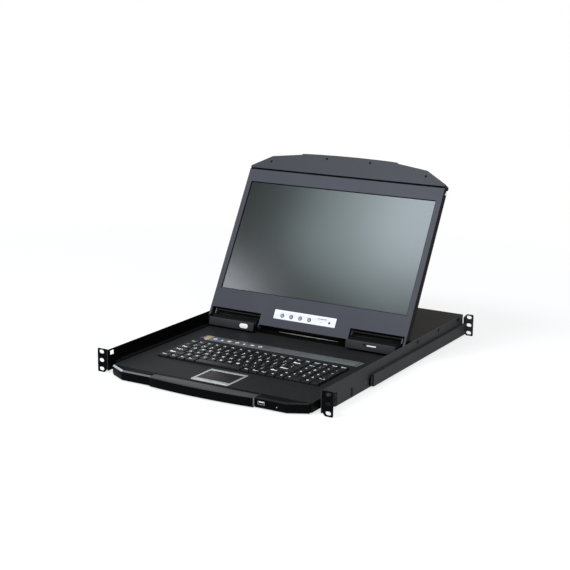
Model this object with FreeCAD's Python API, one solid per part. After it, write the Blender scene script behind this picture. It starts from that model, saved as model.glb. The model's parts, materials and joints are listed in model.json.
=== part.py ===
"""Rackmount LCD console drawer, 1U: keyboard drawer and LCD carriage on their own slide pairs.

Millimetres.  X runs along the rack's width, Y from the front ears to the back, Z up.  The origin is the
centre of the front rack-hole pattern, in the front face of the ears.  Right-hand pieces (X > 0) are drawn
and mirrored for the left.  The LCD is drawn flat about its hinge axis and then leant back.
"""

import FreeCAD, Part
import math
import os

Vec = FreeCAD.Vector
X_AXIS = Vec(1, 0, 0)
Y_AXIS = Vec(0, 1, 0)
Z_AXIS = Vec(0, 0, 1)
ORIGIN = Vec(0, 0, 0)

# ------------------------------------------------------------------ rack interface (EIA 19 inch, 1U)
panel_width = 482.6
hole_edge_distance = 8.75
hole_pitch_z = 15.875
hole_rows = (-1, 0, 1)
slot_height = 6.8
slot_length = 10.4
ear_height = 43.6
ear_sheet = 2.0
ear_corner_radius = 2.0
ear_notch = 7.0
ear_flange_length = 52.0
ear_flange_height = 25.0
ear_flange_sheet = 1.5
ear_reach = 21.3
ear_overlap = 0.8

# ------------------------------------------------------------------ chassis
chassis_depth = 583.0
chassis_sheet = 1.2
chassis_bend_radius = 1.6
sheet_fold_share = 0.9
floor_setback = 50.0
floor_notch_height = 3.0
cover_hinge_gap = 22.0
cover_flange_height = 11.0
cover_skirt_gap = 9.8
rear_panel_foot = 10.0
vent_width = 3.0
vent_height = 16.0
vent_pitch = 8.0
vent_first_x = 20.0

# ------------------------------------------------------------------ slides
channel_depth = 9.0
channel_sheet = 1.0
channel_front_y = 32.0
channel_end_gap = 8.0
cavity_height = 7.4
channel_lip = 1.6
bar_gap = 0.35
bar_neck_height = 3.2
bar_front_y = 20.0
bar_end_gap = 13.0

# ------------------------------------------------------------------ outer guide and rear rack bracket
guide_front_y = 171.0
guide_end_gap = 6.0
guide_rise = 3.25
guide_base_depth = 2.3
guide_head_depth = 2.0
guide_base_height = 13.0
guide_head_height = 18.6
rail_setback = 8.0
rail_sheet = 1.2
rail_gap = 0.4
rail_lip_height = 2.6
rear_ear_setback = 2.0
rear_ear_gap = 0.6
rear_ear_chamfer = 7.0

# ------------------------------------------------------------------ wall fasteners
wall_screw_radius = 2.3
wall_screw_head = 0.8
wall_screw_shank_radius = 1.4
fastener_sides = 6
post_sides = 8
small_round_sides = 12
wall_screw_y = 108.0
wall_rivet_y = 158.0
ear_screw_y = 44.0
ear_screw_drop = 5.0
cover_screw_count = 3
cover_screw_margin = 24.0
cover_screw_drop = 6.0

# ------------------------------------------------------------------ keyboard drawer
tray_front_y = -4.0
tray_side_gap = 5.8
tray_hinge_gap = 8.0
tray_sheet = 1.0
tray_floor_gap = 0.6
deck_height = 17.6
deck_sheet = 1.2
bar_ground_gap = 0.8
bar_tip_inset = 2.5
bar_tip_y = -8.0
bar_taper_length = 33.0
bar_straight_length = 62.0
bar_face_y = -26.0
handle_side_y = -30.0
handle_middle_y = -36.0
bar_joint_gap = 0.8
bar_chamfer = 3.6
handle_chamfer = 6.0
bar_lip_height = 3.0
bar_lip_depth = 1.4
usb_joint_distance = 13.6
usb_drop = 8.6
usb_width = 13.2
usb_height = 5.8
usb_depth = 14.0
usb_wall = 0.5
usb_tongue = 1.9
led_usb_distance = 29.7
led_drop = 2.4
led_radius = 1.5

# ------------------------------------------------------------------ keys
key_pitch_x = 17.7
key_pitch_y = 19.4
key_gap = 1.1
key_field_front_y = 82.0
key_field_margin = 1.4
key_rise = 3.4
key_travel = 2.0
key_clearance = 0.3
key_side_slope = 1.3
key_stem_size = 4.0
key_stem_below_plate = 1.2
key_plate_sheet = 1.0
key_plate_rim = 1.2
key_well_depth = 3.0
numpad_columns = 4
main_block_units = 15
number_row = [1.0] * 13 + [2.0]
upper_row = [1.5] + [1.0] * 12 + [1.5]
home_row = [1.75] + [1.0] * 11 + [2.25]
lower_row = [2.25] + [1.0] * 10 + [1.75, 1.0]
bottom_row_left = [1.25, 1.0, 1.0, 1.25]
space_units = 5.5
bottom_row_right = [1.0, 1.0, 1.0, 1.0, 1.0]
space_stem_spread = 0.3

# ------------------------------------------------------------------ status strip and touchpad
strip_front_y = 216.5
strip_back_y = 244.5
strip_end_inset = 1.15
strip_end_slant = 13.0
strip_rise = 1.2
touch_half_width = 38.8
touch_front_y = -3.0
touch_back_y = 66.0
touch_rise = 1.4
touch_front_radius = 5.0
touch_back_radius = 3.0
touch_side = 4.2
touch_back_border = 7.0
touch_front_border = 1.6
touch_button_depth = 11.5
touch_button_gap = 0.4
touch_button_thickness = 3.2
touch_button_travel = 0.8
touch_pad_thickness = 2.0
touch_pad_sink = 0.6
board_sheet = 1.6
keyboard_board_front_y = 4.0
keyboard_board_back_y = 62.0
keyboard_board_half_width = 60.0
switch_size = 6.0

# ------------------------------------------------------------------ LCD hinge and carriage
closed_front_y = 5.6
closed_gap = 0.7
lid_gap = 0.7
lcd_front_from_axis = 6.9
lean_back_degrees = 29.6
lcd_bottom = 23.4
block_side_gap = 12.1
block_length = 102.3
block_front = 21.0
fascia_lean = 3.0
fascia_top = 8.4
fascia_sheet = 1.8
trough_floor = 1.5
barrel_radius = 11.0
block_floor_gap = 0.9
block_bore_depth = 16.0
pin_radius = 3.0
pin_running_gap = 0.05
pin_length = 14.0
arm_sheet = 2.0
arm_block_gap = 0.7
arm_end_radius = 5.6
arm_skin_gap = 0.3
arm_reach = 52.0
arm_foot_width = 12.0
crossbar_front = 12.0
crossbar_back = 20.5
crossbar_low_top = -3.0
bracket_top = 12.0
crossbar_sheet = 1.5
side_plate_gap = 2.8
side_plate_sheet = 2.0
side_plate_front = 16.0
side_plate_corner = 5.0
side_plate_drop = 0.3
side_plate_top = 11.2

# ------------------------------------------------------------------ LCD module
lcd_wall_gap = 4.4
lcd_middle_bottom = 1.4
lcd_leg_width = 4.0
lcd_leg_bottom = 3.0
bezel_depth = 6.0
bezel_skin = 2.0
lcd_wall = 1.6
lcd_corner_radius = 3.0
back_edge_chamfer = 3.0
screen_side_border = 11.0
screen_bottom = 63.6
screen_height = 229.4
screen_top_border = 27.4
panel_margin = 4.0
panel_thickness = 6.5
back_vents = 12
back_vent_width = 4.0
back_vent_length = 26.0
back_vent_pitch = 14.0
back_vent_bottom = 70.0
handle_tip_height = 6.3
handle_tip_radius = 2.5
handle_bevel_inset = 44.1
handle_bevel_height = 30.5
handle_step_inset = 109.6
handle_step_height = 39.2
handle_step_rise = 2.0
handle_step_run = 1.0
handle_bow_height = 44.0
handle_edge_thickness = 12.0
handle_edge_radius = 2.0
handle_groove_width = 2.2
handle_groove_depth = 3.0
bumper_radius = 2.4
bumper_rise = 0.8
bumper_inner_x = 48.0
bumper_inner_drop = 4.2
bumper_outer_drop = 11.8
plate_left_x = -70.0
plate_right_x = 65.5
plate_bottom = 18.4
plate_top = 36.9
plate_corner_radius = 1.4
plate_pocket = 1.0
plate_thickness = 0.8
menu_button_count = 4
menu_button_first_x = -51.5
menu_button_pitch = 19.85
menu_button_height = 25.9
menu_button_radius = 4.0
power_button_x = 52.0
power_button_radius = 2.0
button_gap = 0.3
button_proud = 0.5
button_collar = 1.2
button_collar_thickness = 1.0
button_length = 6.4
button_travel = 0.8
button_board_margin = 6.0
driver_board_x = (-90.0, 70.0)
driver_board_v = (110.0, 220.0)
catch_top_distance = 3.9
catch_height = 8.0
catch_length = 14.0
catch_wall_gap = 0.4
catch_inset = 4.0
catch_thickness = 5.0
catch_hole_gap = 1.5
catch_travel = 1.3
catch_slot_gap = 0.3
catch_shoulder = 2.0

# ------------------------------------------------------------------ rear electronics
post_radius = 2.4
board_side_gap = 24.8
board_cover_gap = 52.0
board_back_gap = 5.0
board_height = 6.0
chip_size = 24.0
chip_height = 3.0
chip_pitch = 52.0
sink_size = 40.0
sink_height = 14.0
sink_fins = 6
fin_sheet = 1.5
supply_side_gap = 19.8
supply_width = 130.0
supply_cover_gap = 47.0
supply_back_gap = 48.0
supply_board_gap = 20.0
supply_height = 34.0
supply_sheet = 1.2
inlet_supply_inset = 25.0
inlet_width = 27.0
inlet_height = 22.0
inlet_depth = 22.0
inlet_flange = 3.0
inlet_flange_sheet = 2.0
inlet_cavity_width = 24.0
inlet_cavity_height = 16.6
inlet_cavity_depth = 16.0
inlet_pin_pitch = 7.0
inlet_pin_rise = 3.4
inlet_pin_width = 2.0
inlet_pin_height = 4.0
inlet_pin_length = 10.0
switch_inlet_distance = 33.0
rocker_width = 12.4
rocker_half_height = 9.0
rocker_side_gap = 0.4
rocker_end_gap = 1.1
rocker_pin_radius = 1.5
rocker_pin_length = 1.6
rocker_rim = 5.5
rocker_waist = 4.2
rocker_back = 5.0
rocker_shoulder = 0.6
rocker_tilt_degrees = 8.0
dsub_board_inset = 50.0
dsub_width = 31.0
dsub_height = 12.5
dsub_depth = 12.0
dsub_shell_half_wide = 9.0
dsub_shell_half_narrow = 7.6
dsub_shell_half_height = 4.2
dsub_shell_reach = 6.0
dsub_cut_margin = 0.5
jack_dsub_distance = 50.0
jack_pitch = 24.0
jack_count = 2
jack_width = 16.0
jack_height = 14.0
jack_depth = 18.0
jack_cavity_width = 11.8
jack_cavity_height = 8.0
jack_cavity_depth = 13.0
port_gap = 0.4

# ------------------------------------------------------------------ derived levels and faces
hole_spacing_x = panel_width - 2 * hole_edge_distance
half_chassis = panel_width / 2 - ear_reach
wall_inner = half_chassis - chassis_sheet
base_z = ear_overlap - ear_height / 2
floor_z = base_z + chassis_sheet
lid_z = -base_z
lid_under_z = lid_z - chassis_sheet
channel_inner = wall_inner - channel_depth
channel_height = 3 * channel_sheet + 2 * cavity_height
channel_back_y = chassis_depth - channel_end_gap
bar_back_y = channel_back_y - bar_end_gap
lower_slot_z = floor_z + channel_sheet + cavity_height / 2
upper_slot_z = lower_slot_z + cavity_height + channel_sheet
guide_back_y = chassis_depth - guide_end_gap
rail_front_y = guide_front_y + rail_setback
rail_centre_z = base_z + guide_rise + guide_head_height / 2
rear_ear_y = chassis_depth + rear_ear_setback

tray_half_width = channel_inner - tray_side_gap
tray_bottom_z = floor_z + tray_floor_gap
tray_floor_z = tray_bottom_z + tray_sheet
deck_top_z = floor_z + deck_height
deck_under_z = deck_top_z - deck_sheet
bar_bottom_z = base_z + bar_ground_gap
bar_tip_x = tray_half_width - bar_tip_inset
bar_bend_x = bar_tip_x - bar_taper_length
handle_half_width = bar_bend_x - bar_straight_length
usb_centre_x = handle_half_width + usb_joint_distance
usb_centre_z = deck_top_z - usb_drop
led_centre_x = usb_centre_x + led_usb_distance
led_centre_z = usb_centre_z - led_drop
key_top_z = deck_top_z + key_rise
key_plate_top_z = deck_under_z - key_well_depth
key_bottom_z = key_plate_top_z + key_travel + key_clearance
field_half_width = key_pitch_x * (main_block_units + numpad_columns) / 2
well_half_width = field_half_width + key_field_margin
well_front_y = key_field_front_y - key_field_margin
well_back_y = key_field_front_y + 6 * key_pitch_y + key_field_margin
strip_half_width = field_half_width - strip_end_inset

lcd_half_width = half_chassis - lcd_wall_gap
screen_half_width = lcd_half_width - screen_side_border
lcd_top = screen_bottom + screen_height + screen_top_border
lcd_closed_z = key_top_z + closed_gap
lcd_front = lcd_front_from_axis
lcd_back = lcd_closed_z + lcd_front + lid_gap - lid_z
lcd_thickness = lcd_front - lcd_back
hinge_y = lcd_top + closed_front_y
hinge_z = lcd_closed_z + lcd_front
tray_back_y = hinge_y - tray_hinge_gap
cover_front_y = hinge_y + cover_hinge_gap
cover_skirt_half_width = channel_inner - cover_skirt_gap
block_outer_x = lcd_half_width - block_side_gap
block_inner_x = block_outer_x - block_length
outer_arm_x = block_outer_x + arm_block_gap
inner_arm_x = block_inner_x - arm_block_gap - arm_sheet
lcd_middle_half = inner_arm_x
side_plate_x = tray_half_width + side_plate_gap
bezel_back = lcd_front - bezel_depth
bezel_inner = lcd_front - bezel_skin
cover_inner = lcd_back + lcd_wall
cover_rim = lcd_wall + back_edge_chamfer / 2
handle_tip = lcd_top + handle_tip_height
handle_bevel_x = lcd_half_width - handle_bevel_inset
handle_bevel = lcd_top + handle_bevel_height
handle_step_x = lcd_half_width - handle_step_inset
handle_step = lcd_top + handle_step_height
handle_top = lcd_top + handle_bow_height
bumper_places = [(bumper_inner_x, handle_step - bumper_inner_drop),
                 (handle_bevel_x, handle_bevel - bumper_outer_drop)]
catch_top = lcd_top - catch_top_distance
catch_bottom = catch_top - catch_height
catch_depth = (lcd_back + catch_inset, lcd_back + catch_inset + catch_thickness)

supply_x = (supply_side_gap - channel_inner, supply_side_gap - channel_inner + supply_width)
supply_y = (cover_front_y + supply_cover_gap, chassis_depth - supply_back_gap)
board_x = (supply_x[1] + supply_board_gap, channel_inner - board_side_gap)
board_y = (cover_front_y + board_cover_gap, chassis_depth - board_back_gap)
inlet_centre_x = supply_x[0] + inlet_supply_inset
switch_centre_x = inlet_centre_x + switch_inlet_distance
dsub_centre_x = board_x[0] + dsub_board_inset
jack_first_x = dsub_centre_x + jack_dsub_distance

# ------------------------------------------------------------------ small geometry helpers
def block(x_range, y_range, z_range):
    """A box between two limits along each axis."""
    size = [high - low for low, high in (x_range, y_range, z_range)]
    return Part.makeBox(size[0], size[1], size[2], Vec(x_range[0], y_range[0], z_range[0]))


def prism(points, sweep):
    """A closed polygon extruded along sweep."""
    loop = Part.makePolygon(list(points) + [points[0]])
    return Part.Face(loop).extrude(sweep)


def prism_along_y(outline, y_range):
    """A section in X and Z extruded from one Y to another."""
    points = [Vec(x, y_range[0], z) for x, z in outline]
    return prism(points, Y_AXIS * (y_range[1] - y_range[0]))


def prism_along_x(outline, x_range):
    """A section in Y and Z extruded from one X to another."""
    points = [Vec(x_range[0], y, z) for y, z in outline]
    return prism(points, X_AXIS * (x_range[1] - x_range[0]))


def prism_along_z(outline, z_range):
    """A plan outline in X and Y extruded from one Z to another."""
    points = [Vec(x, y, z_range[0]) for x, y in outline]
    return prism(points, Z_AXIS * (z_range[1] - z_range[0]))


def rod(radius, start, direction, length):
    """A round bar from a point along a direction."""
    return Part.makeCylinder(radius, length, start, direction)


def flat_sided(sides, radius, start, direction, length):
    """A regular prism along a line, for small posts, buttons, screws and their holes."""
    across = direction.cross(Z_AXIS if abs(direction.z) < 0.5 else X_AXIS).normalize()
    up = direction.cross(across)
    turns = [2 * math.pi * index / sides for index in range(sides)]
    corners = [start + (across * math.cos(turn) + up * math.sin(turn)) * radius for turn in turns]
    return prism(corners, direction * length)


def mirrored(shape):
    """The same piece on the other side of the centre plane."""
    return shape.mirror(ORIGIN, X_AXIS)


def joined(shapes):
    """One solid out of touching shapes, without the seams between them."""
    first = shapes[0]
    return first.multiFuse(shapes[1:]).removeSplitter()


def edges_along(shape, direction, wanted):
    """Straight edges parallel to direction whose middle passes the wanted test."""
    found = []
    for edge in shape.Edges:
        if edge.Curve.TypeId != "Part::GeomLine":
            continue
        start, end = edge.Vertexes[0].Point, edge.Vertexes[-1].Point
        run = (end - start).normalize()
        middle = (start + end) * 0.5
        if abs(run.dot(direction)) > 0.999 and wanted(middle):
            found.append(edge)
    return found


def rounded_rectangle(x_range, y_range, z_range, radius):
    """A plate with four rounded upright corners."""
    plate = block(x_range, y_range, z_range)
    return plate.makeFillet(radius, edges_along(plate, Z_AXIS, lambda middle: True))


def write(name, shapes):
    """One STEP file for a sub-part, which may be several separate solids."""
    solids = [solid for shape in shapes for solid in shape.Solids]
    whole = solids[0] if len(solids) == 1 else Part.makeCompound(solids)
    whole.exportStep("parts/" + name + ".step")


# ------------------------------------------------------------------ rack ears
def rack_slots(y_range):
    """Cutters for the horizontal rack slots on the right-hand side."""
    cutters = []
    straight = (slot_length - slot_height) / 2
    depth = y_range[1] - y_range[0]
    for row in hole_rows:
        centre_x = hole_spacing_x / 2
        centre_z = row * hole_pitch_z
        ends = [rod(slot_height / 2, Vec(centre_x + side * straight, y_range[0], centre_z), Y_AXIS, depth)
                for side in (-1, 1)]
        middle = block((centre_x - straight, centre_x + straight), y_range,
                       (centre_z - slot_height / 2, centre_z + slot_height / 2))
        cutters.append(joined(ends + [middle]))
    return cutters


def front_ear():
    """Angle bracket: ear with three slots, bent back along the chassis wall."""
    half_height = ear_height / 2
    plate = block((half_chassis, panel_width / 2), (0, ear_sheet), (-half_height, half_height))
    flange = block((half_chassis, half_chassis + ear_flange_sheet), (0, ear_flange_length),
                   (base_z, base_z + ear_flange_height))
    ear = joined([plate, flange])
    notch = prism_along_y([(half_chassis, -half_height), (half_chassis + ear_notch, -half_height),
                           (half_chassis, -half_height + ear_notch)], (0, ear_flange_length))
    ear = ear.cut(notch)
    outer = edges_along(ear, Y_AXIS, lambda m: m.x > panel_width / 2 - 1)
    ear = ear.makeFillet(ear_corner_radius, outer)
    bend = edges_along(ear, Z_AXIS, lambda m: abs(m.x - half_chassis) < 0.1 and abs(m.y) < 0.1)
    ear = ear.makeFillet(sheet_fold_share * ear_flange_sheet, bend)
    ear = ear.cut(Part.makeCompound(rack_slots((-1, ear_sheet + 1))))
    return ear.cut(Part.makeCompound(ear_screw_holes()))


def ear_screw_centres():
    """Heights of the two screws that hold the front ear's flange to the wall."""
    top = base_z + ear_flange_height - ear_screw_drop
    bottom = base_z + ear_notch + ear_screw_drop
    return [(ear_screw_y, top), (ear_screw_y, bottom)]


def ear_screw_holes():
    """Through holes for the ear screws, from the wall's inner face outwards."""
    length = chassis_sheet + ear_flange_sheet
    return [wall_screw_shank(y, z, length) for y, z in ear_screw_centres()]


def wall_screw_shank(y, z, length):
    """A small screw's shank, or the hole for it, from the right wall's inner face outwards."""
    return flat_sided(fastener_sides, wall_screw_shank_radius, Vec(wall_inner, y, z), X_AXIS, length)


def rear_bracket():
    """Sleeve that hooks round the outer guide, with the rear rack ear bent out at its end."""
    head_half = guide_head_height / 2
    outer_x = half_chassis + guide_base_depth + guide_head_depth + rail_gap + rail_sheet
    web_x = outer_x - rail_sheet
    top_out = head_half + rail_gap + rail_sheet
    top_in = head_half + rail_gap
    lip_x = half_chassis + rail_gap
    lip_in = lip_x + rail_sheet
    lip_end = top_in - rail_lip_height
    upper = [(outer_x, top_out), (lip_x, top_out), (lip_x, lip_end), (lip_in, lip_end),
             (lip_in, top_in), (web_x, top_in)]
    section = upper + [(x, -z) for x, z in reversed(upper)]
    section = [(x, z + rail_centre_z) for x, z in section]
    sleeve = prism_along_y(section, (rail_front_y, rear_ear_y))
    half_height = ear_height / 2
    inner_x = half_chassis + rear_ear_gap
    outline = [(inner_x, -half_height + rear_ear_chamfer), (inner_x + rear_ear_chamfer, -half_height),
               (panel_width / 2, -half_height), (panel_width / 2, half_height),
               (inner_x + rear_ear_chamfer, half_height), (inner_x, half_height - rear_ear_chamfer)]
    ear = prism_along_y(outline, (rear_ear_y, rear_ear_y + ear_sheet))
    outer = edges_along(ear, Y_AXIS, lambda m: m.x > panel_width / 2 - 1)
    ear = ear.makeFillet(ear_corner_radius, outer)
    ear = ear.cut(Part.makeCompound(rack_slots((rear_ear_y - 1, rear_ear_y + ear_sheet + 1))))
    return joined([sleeve, ear])


def outer_guide():
    """T-shaped guide on the chassis wall that the rear bracket hooks behind."""
    base = guide_base_height / 2
    head = guide_head_height / 2
    base_x = half_chassis + guide_base_depth
    head_x = base_x + guide_head_depth
    half = [(half_chassis, base), (base_x, base), (base_x, head), (head_x, head)]
    section = half + [(x, -z) for x, z in reversed(half)]
    return prism_along_y([(x, z + rail_centre_z) for x, z in section], (guide_front_y, guide_back_y))


# ------------------------------------------------------------------ chassis sheet metal
def wall_screw_centres():
    """Screws (two) and rivet (one) that hold the slide channel, on the right wall."""
    return [(wall_screw_y, lower_slot_z), (wall_screw_y, upper_slot_z), (wall_rivet_y, upper_slot_z)]


def cover_screw_centres():
    """Screws through the wall into the top cover's side flange."""
    first, last = cover_front_y + cover_screw_margin, chassis_depth - cover_screw_margin
    step = (last - first) / (cover_screw_count - 1)
    return [(first + index * step, lid_z - cover_screw_drop) for index in range(cover_screw_count)]


def wall_holes():
    """Cutters for all round holes of the right wall."""
    centres = wall_screw_centres() + cover_screw_centres()
    holes = [wall_screw_shank(y, z, chassis_sheet) for y, z in centres]
    return holes + ear_screw_holes()


def catch_hole():
    """Hole of the right wall that takes the LCD's release catch when the LCD is shut."""
    y_range = (hinge_y - catch_top - catch_hole_gap, hinge_y - catch_bottom + catch_hole_gap)
    z_range = (hinge_z - catch_depth[1] - catch_hole_gap, hinge_z - catch_depth[0] + catch_hole_gap)
    return block((wall_inner - 1, half_chassis + 1), y_range, z_range)


def chassis_pan():
    """Floor and side walls folded from one sheet, open at both ends; the floor starts behind the ears."""
    outer = block((-half_chassis, half_chassis), (0, chassis_depth), (base_z, lid_z))
    bends = edges_along(outer, Y_AXIS, lambda m: m.z < base_z + 1)
    outer = outer.makeFillet(chassis_bend_radius, bends)
    inner = block((-wall_inner, wall_inner), (-1, chassis_depth + 1), (floor_z, lid_z + 1))
    setback = block((-half_chassis - 1, half_chassis + 1), (-1, floor_setback),
                    (base_z - 1, base_z + floor_notch_height))
    pan = outer.cut(Part.makeCompound([inner, setback]))
    right = wall_holes() + [catch_hole()]
    left = [mirrored(cutter) for cutter in right]
    return pan.cut(Part.makeCompound(right + left))


def top_cover():
    """Lid over the electronics with side flanges and a skirt down its front edge."""
    lid = block((-wall_inner, wall_inner), (cover_front_y, chassis_depth), (lid_under_z, lid_z))
    flange_z = (lid_z - cover_flange_height, lid_under_z)
    right = block((wall_inner - chassis_sheet, wall_inner), (cover_front_y, chassis_depth), flange_z)
    skirt = block((-cover_skirt_half_width, cover_skirt_half_width),
                  (cover_front_y, cover_front_y + chassis_sheet),
                  (floor_z, lid_under_z))
    cover = joined([lid, right, mirrored(right), skirt])
    bend = edges_along(cover, X_AXIS, lambda m: m.z > lid_z - 0.1 and m.y < cover_front_y + 0.1)
    return cover.makeFillet(sheet_fold_share * chassis_sheet, bend)


def rear_panel_y():
    """The rear panel's inner and outer faces."""
    return (chassis_depth - 2 * chassis_sheet, chassis_depth - chassis_sheet)


def rear_panel():
    """Upright rear sheet with a foot on the floor, port cut-outs and vents."""
    inner_y, outer_y = rear_panel_y()
    sheet = block((-wall_inner, wall_inner), (inner_y, outer_y), (floor_z, lid_under_z))
    foot = block((-cover_skirt_half_width, cover_skirt_half_width), (inner_y - rear_panel_foot, inner_y),
                 (floor_z, floor_z + chassis_sheet))
    panel = joined([sheet, foot])
    flange_clear = block((wall_inner - chassis_sheet, wall_inner), (inner_y - 1, outer_y + 1),
                         (lid_z - cover_flange_height, lid_under_z))
    slide_clear = block((channel_inner, wall_inner), (inner_y - 1, outer_y + 1),
                        (floor_z, floor_z + channel_height))
    through = (inner_y - 1, outer_y + 1)
    cuts = [flange_clear, mirrored(flange_clear), slide_clear, mirrored(slide_clear)]
    cuts.append(port_cut(inlet_centre_x, inlet_width, inlet_height, power_centre_z(), through))
    cuts.append(port_cut(switch_centre_x, switch_housing_width(), inlet_height, power_centre_z(), through))
    cuts.append(port_cut(dsub_centre_x, 2 * (dsub_shell_half_wide + dsub_cut_margin),
                         2 * (dsub_shell_half_height + dsub_cut_margin), dsub_centre_z(), through))
    for x in jack_centres():
        cuts.append(port_cut(x, jack_width, jack_height, jack_centre_z(), through))
    first_vent = jack_centres()[-1] + vent_first_x
    for index in range(int((channel_inner - first_vent) / vent_pitch)):
        x = first_vent + index * vent_pitch
        cuts.append(block((x, x + vent_width), through, (-vent_height / 2, vent_height / 2)))
    return panel.cut(Part.makeCompound(cuts))


def port_cut(centre_x, width, height, centre_z, y_range):
    """Rectangular cut-out for a connector, with clearance all round."""
    half_x = width / 2 + port_gap
    half_z = height / 2 + port_gap
    return block((centre_x - half_x, centre_x + half_x), y_range, (centre_z - half_z, centre_z + half_z))


# ------------------------------------------------------------------ slides
def slide_channel():
    """Double channel on the wall: lower cavity for the keyboard drawer, upper for the LCD carriage."""
    outer_x, inner_x = wall_inner, channel_inner
    sheet, lip = channel_sheet, channel_lip
    points = [(outer_x, floor_z), (inner_x, floor_z)]
    for level in range(2):
        bottom = floor_z + sheet + level * (cavity_height + sheet)
        top = bottom + cavity_height
        points += [(inner_x, bottom + lip), (inner_x + sheet, bottom + lip), (inner_x + sheet, bottom),
                   (outer_x - sheet, bottom), (outer_x - sheet, top), (inner_x + sheet, top),
                   (inner_x + sheet, top - lip), (inner_x, top - lip)]
    points += [(inner_x, floor_z + channel_height), (outer_x, floor_z + channel_height)]
    return prism_along_y(points, (channel_front_y, channel_back_y))


def slide_bar(centre_z, carried_x):
    """T-shaped bar whose head runs in a cavity and whose neck reaches in to what it carries."""
    head_in = channel_inner + channel_sheet + bar_gap
    head_out = wall_inner - channel_sheet - bar_gap
    head = cavity_height / 2 - bar_gap
    neck = bar_neck_height / 2
    half = [(carried_x, neck), (head_in, neck), (head_in, head), (head_out, head)]
    section = half + [(x, -z) for x, z in reversed(half)]
    return prism_along_y([(x, z + centre_z) for x, z in section], (bar_front_y, bar_back_y))


# ------------------------------------------------------------------ keyboard drawer
def keyboard_tray():
    """Open box that carries the deck and everything under it."""
    outer = block((-tray_half_width, tray_half_width), (tray_front_y, tray_back_y),
                  (tray_bottom_z, deck_under_z))
    inner = block((-tray_half_width + tray_sheet, tray_half_width - tray_sheet),
                  (tray_front_y + tray_sheet, tray_back_y - tray_sheet), (tray_floor_z, deck_under_z + 1))
    return outer.cut(inner)


def keyboard_deck():
    """Palm rest sheet with openings for the keys and the touchpad."""
    deck = block((-tray_half_width, tray_half_width), (tray_front_y, tray_back_y),
                 (deck_under_z, deck_top_z))
    lift = (deck_under_z - 1, deck_top_z + 1)
    well = block((-well_half_width, well_half_width), (well_front_y, well_back_y), lift)
    pad_x = touch_half_width - touch_side + touch_button_gap
    pad_y = (touch_front_y + touch_front_border, touch_back_y - touch_back_border + touch_button_gap)
    pad = block((-pad_x, pad_x), pad_y, lift)
    return deck.cut(Part.makeCompound([well, pad]))


def softened_front(piece, chamfer):
    """Slopes the top edge along the front of a bar."""
    top = [edge for edge in piece.Edges
           if min(v.Z for v in edge.Vertexes) > deck_top_z - 0.01 and edge.CenterOfMass.y < tray_front_y - 1
           and abs(edge.Vertexes[0].X - edge.Vertexes[-1].X) > 1]
    return piece.makeChamfer(chamfer, top)


def front_bar():
    """Right-hand front bar: straight face, bend and tapered tip, with a lip along its foot."""
    inner_x = handle_half_width + bar_joint_gap
    outline = [(inner_x, tray_front_y), (inner_x, bar_face_y), (bar_bend_x, bar_face_y),
               (bar_tip_x, bar_tip_y), (bar_tip_x, tray_front_y)]
    bar = softened_front(prism_along_z(outline, (bar_bottom_z + bar_lip_height, deck_top_z)), bar_chamfer)
    foot = prism_along_z([(x, min(y + bar_lip_depth, tray_front_y)) for x, y in outline],
                         (bar_bottom_z, bar_bottom_z + bar_lip_height))
    return joined([bar, foot])


def front_bar_left():
    """The plain left bar."""
    return mirrored(front_bar())


def front_bar_right():
    """The right bar with the USB socket's opening and the lamp's hole."""
    half_x = usb_width / 2 + port_gap
    half_z = usb_height / 2 + port_gap
    socket = block((usb_centre_x - half_x, usb_centre_x + half_x),
                   (bar_face_y - 1, bar_face_y + usb_depth + port_gap),
                   (usb_centre_z - half_z, usb_centre_z + half_z))
    lamp_foot = Vec(led_centre_x, bar_face_y - 1, led_centre_z)
    lamp = flat_sided(small_round_sides, led_radius, lamp_foot, Y_AXIS, usb_depth)
    return front_bar().cut(Part.makeCompound([socket, lamp]))


def front_handle():
    """Middle of the front: a bowed grip that stands a little proud of the bars."""
    def outline(inset, z):
        left = Vec(-handle_half_width, handle_side_y + inset, z)
        right = Vec(handle_half_width, handle_side_y + inset, z)
        bow = Part.Arc(left, Vec(0, handle_middle_y + inset, z), right).toShape()
        back_right = Vec(handle_half_width, tray_front_y, z)
        back_left = Vec(-handle_half_width, tray_front_y, z)
        sides = [Part.makeLine(right, back_right), Part.makeLine(back_right, back_left),
                 Part.makeLine(back_left, left)]
        return Part.Wire([bow] + sides)
    body = Part.Face(outline(0, bar_bottom_z + bar_lip_height)).extrude(
        Z_AXIS * (deck_top_z - bar_bottom_z - bar_lip_height))
    body = softened_front(body, handle_chamfer)
    foot = Part.Face(outline(bar_lip_depth, bar_bottom_z)).extrude(Z_AXIS * bar_lip_height)
    return joined([body, foot])


def usb_port():
    """Type A socket: a steel shell with its tongue along the top."""
    y_range = (bar_face_y, bar_face_y + usb_depth)
    half_x, half_z = usb_width / 2, usb_height / 2
    shell = block((usb_centre_x - half_x, usb_centre_x + half_x), y_range,
                  (usb_centre_z - half_z, usb_centre_z + half_z))
    cavity = block((usb_centre_x - half_x + usb_wall, usb_centre_x + half_x - usb_wall),
                   (bar_face_y - 1, bar_face_y + usb_depth - 2 * usb_wall),
                   (usb_centre_z - half_z + usb_wall, usb_centre_z + half_z - usb_wall - usb_tongue))
    return shell.cut(cavity)


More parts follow.
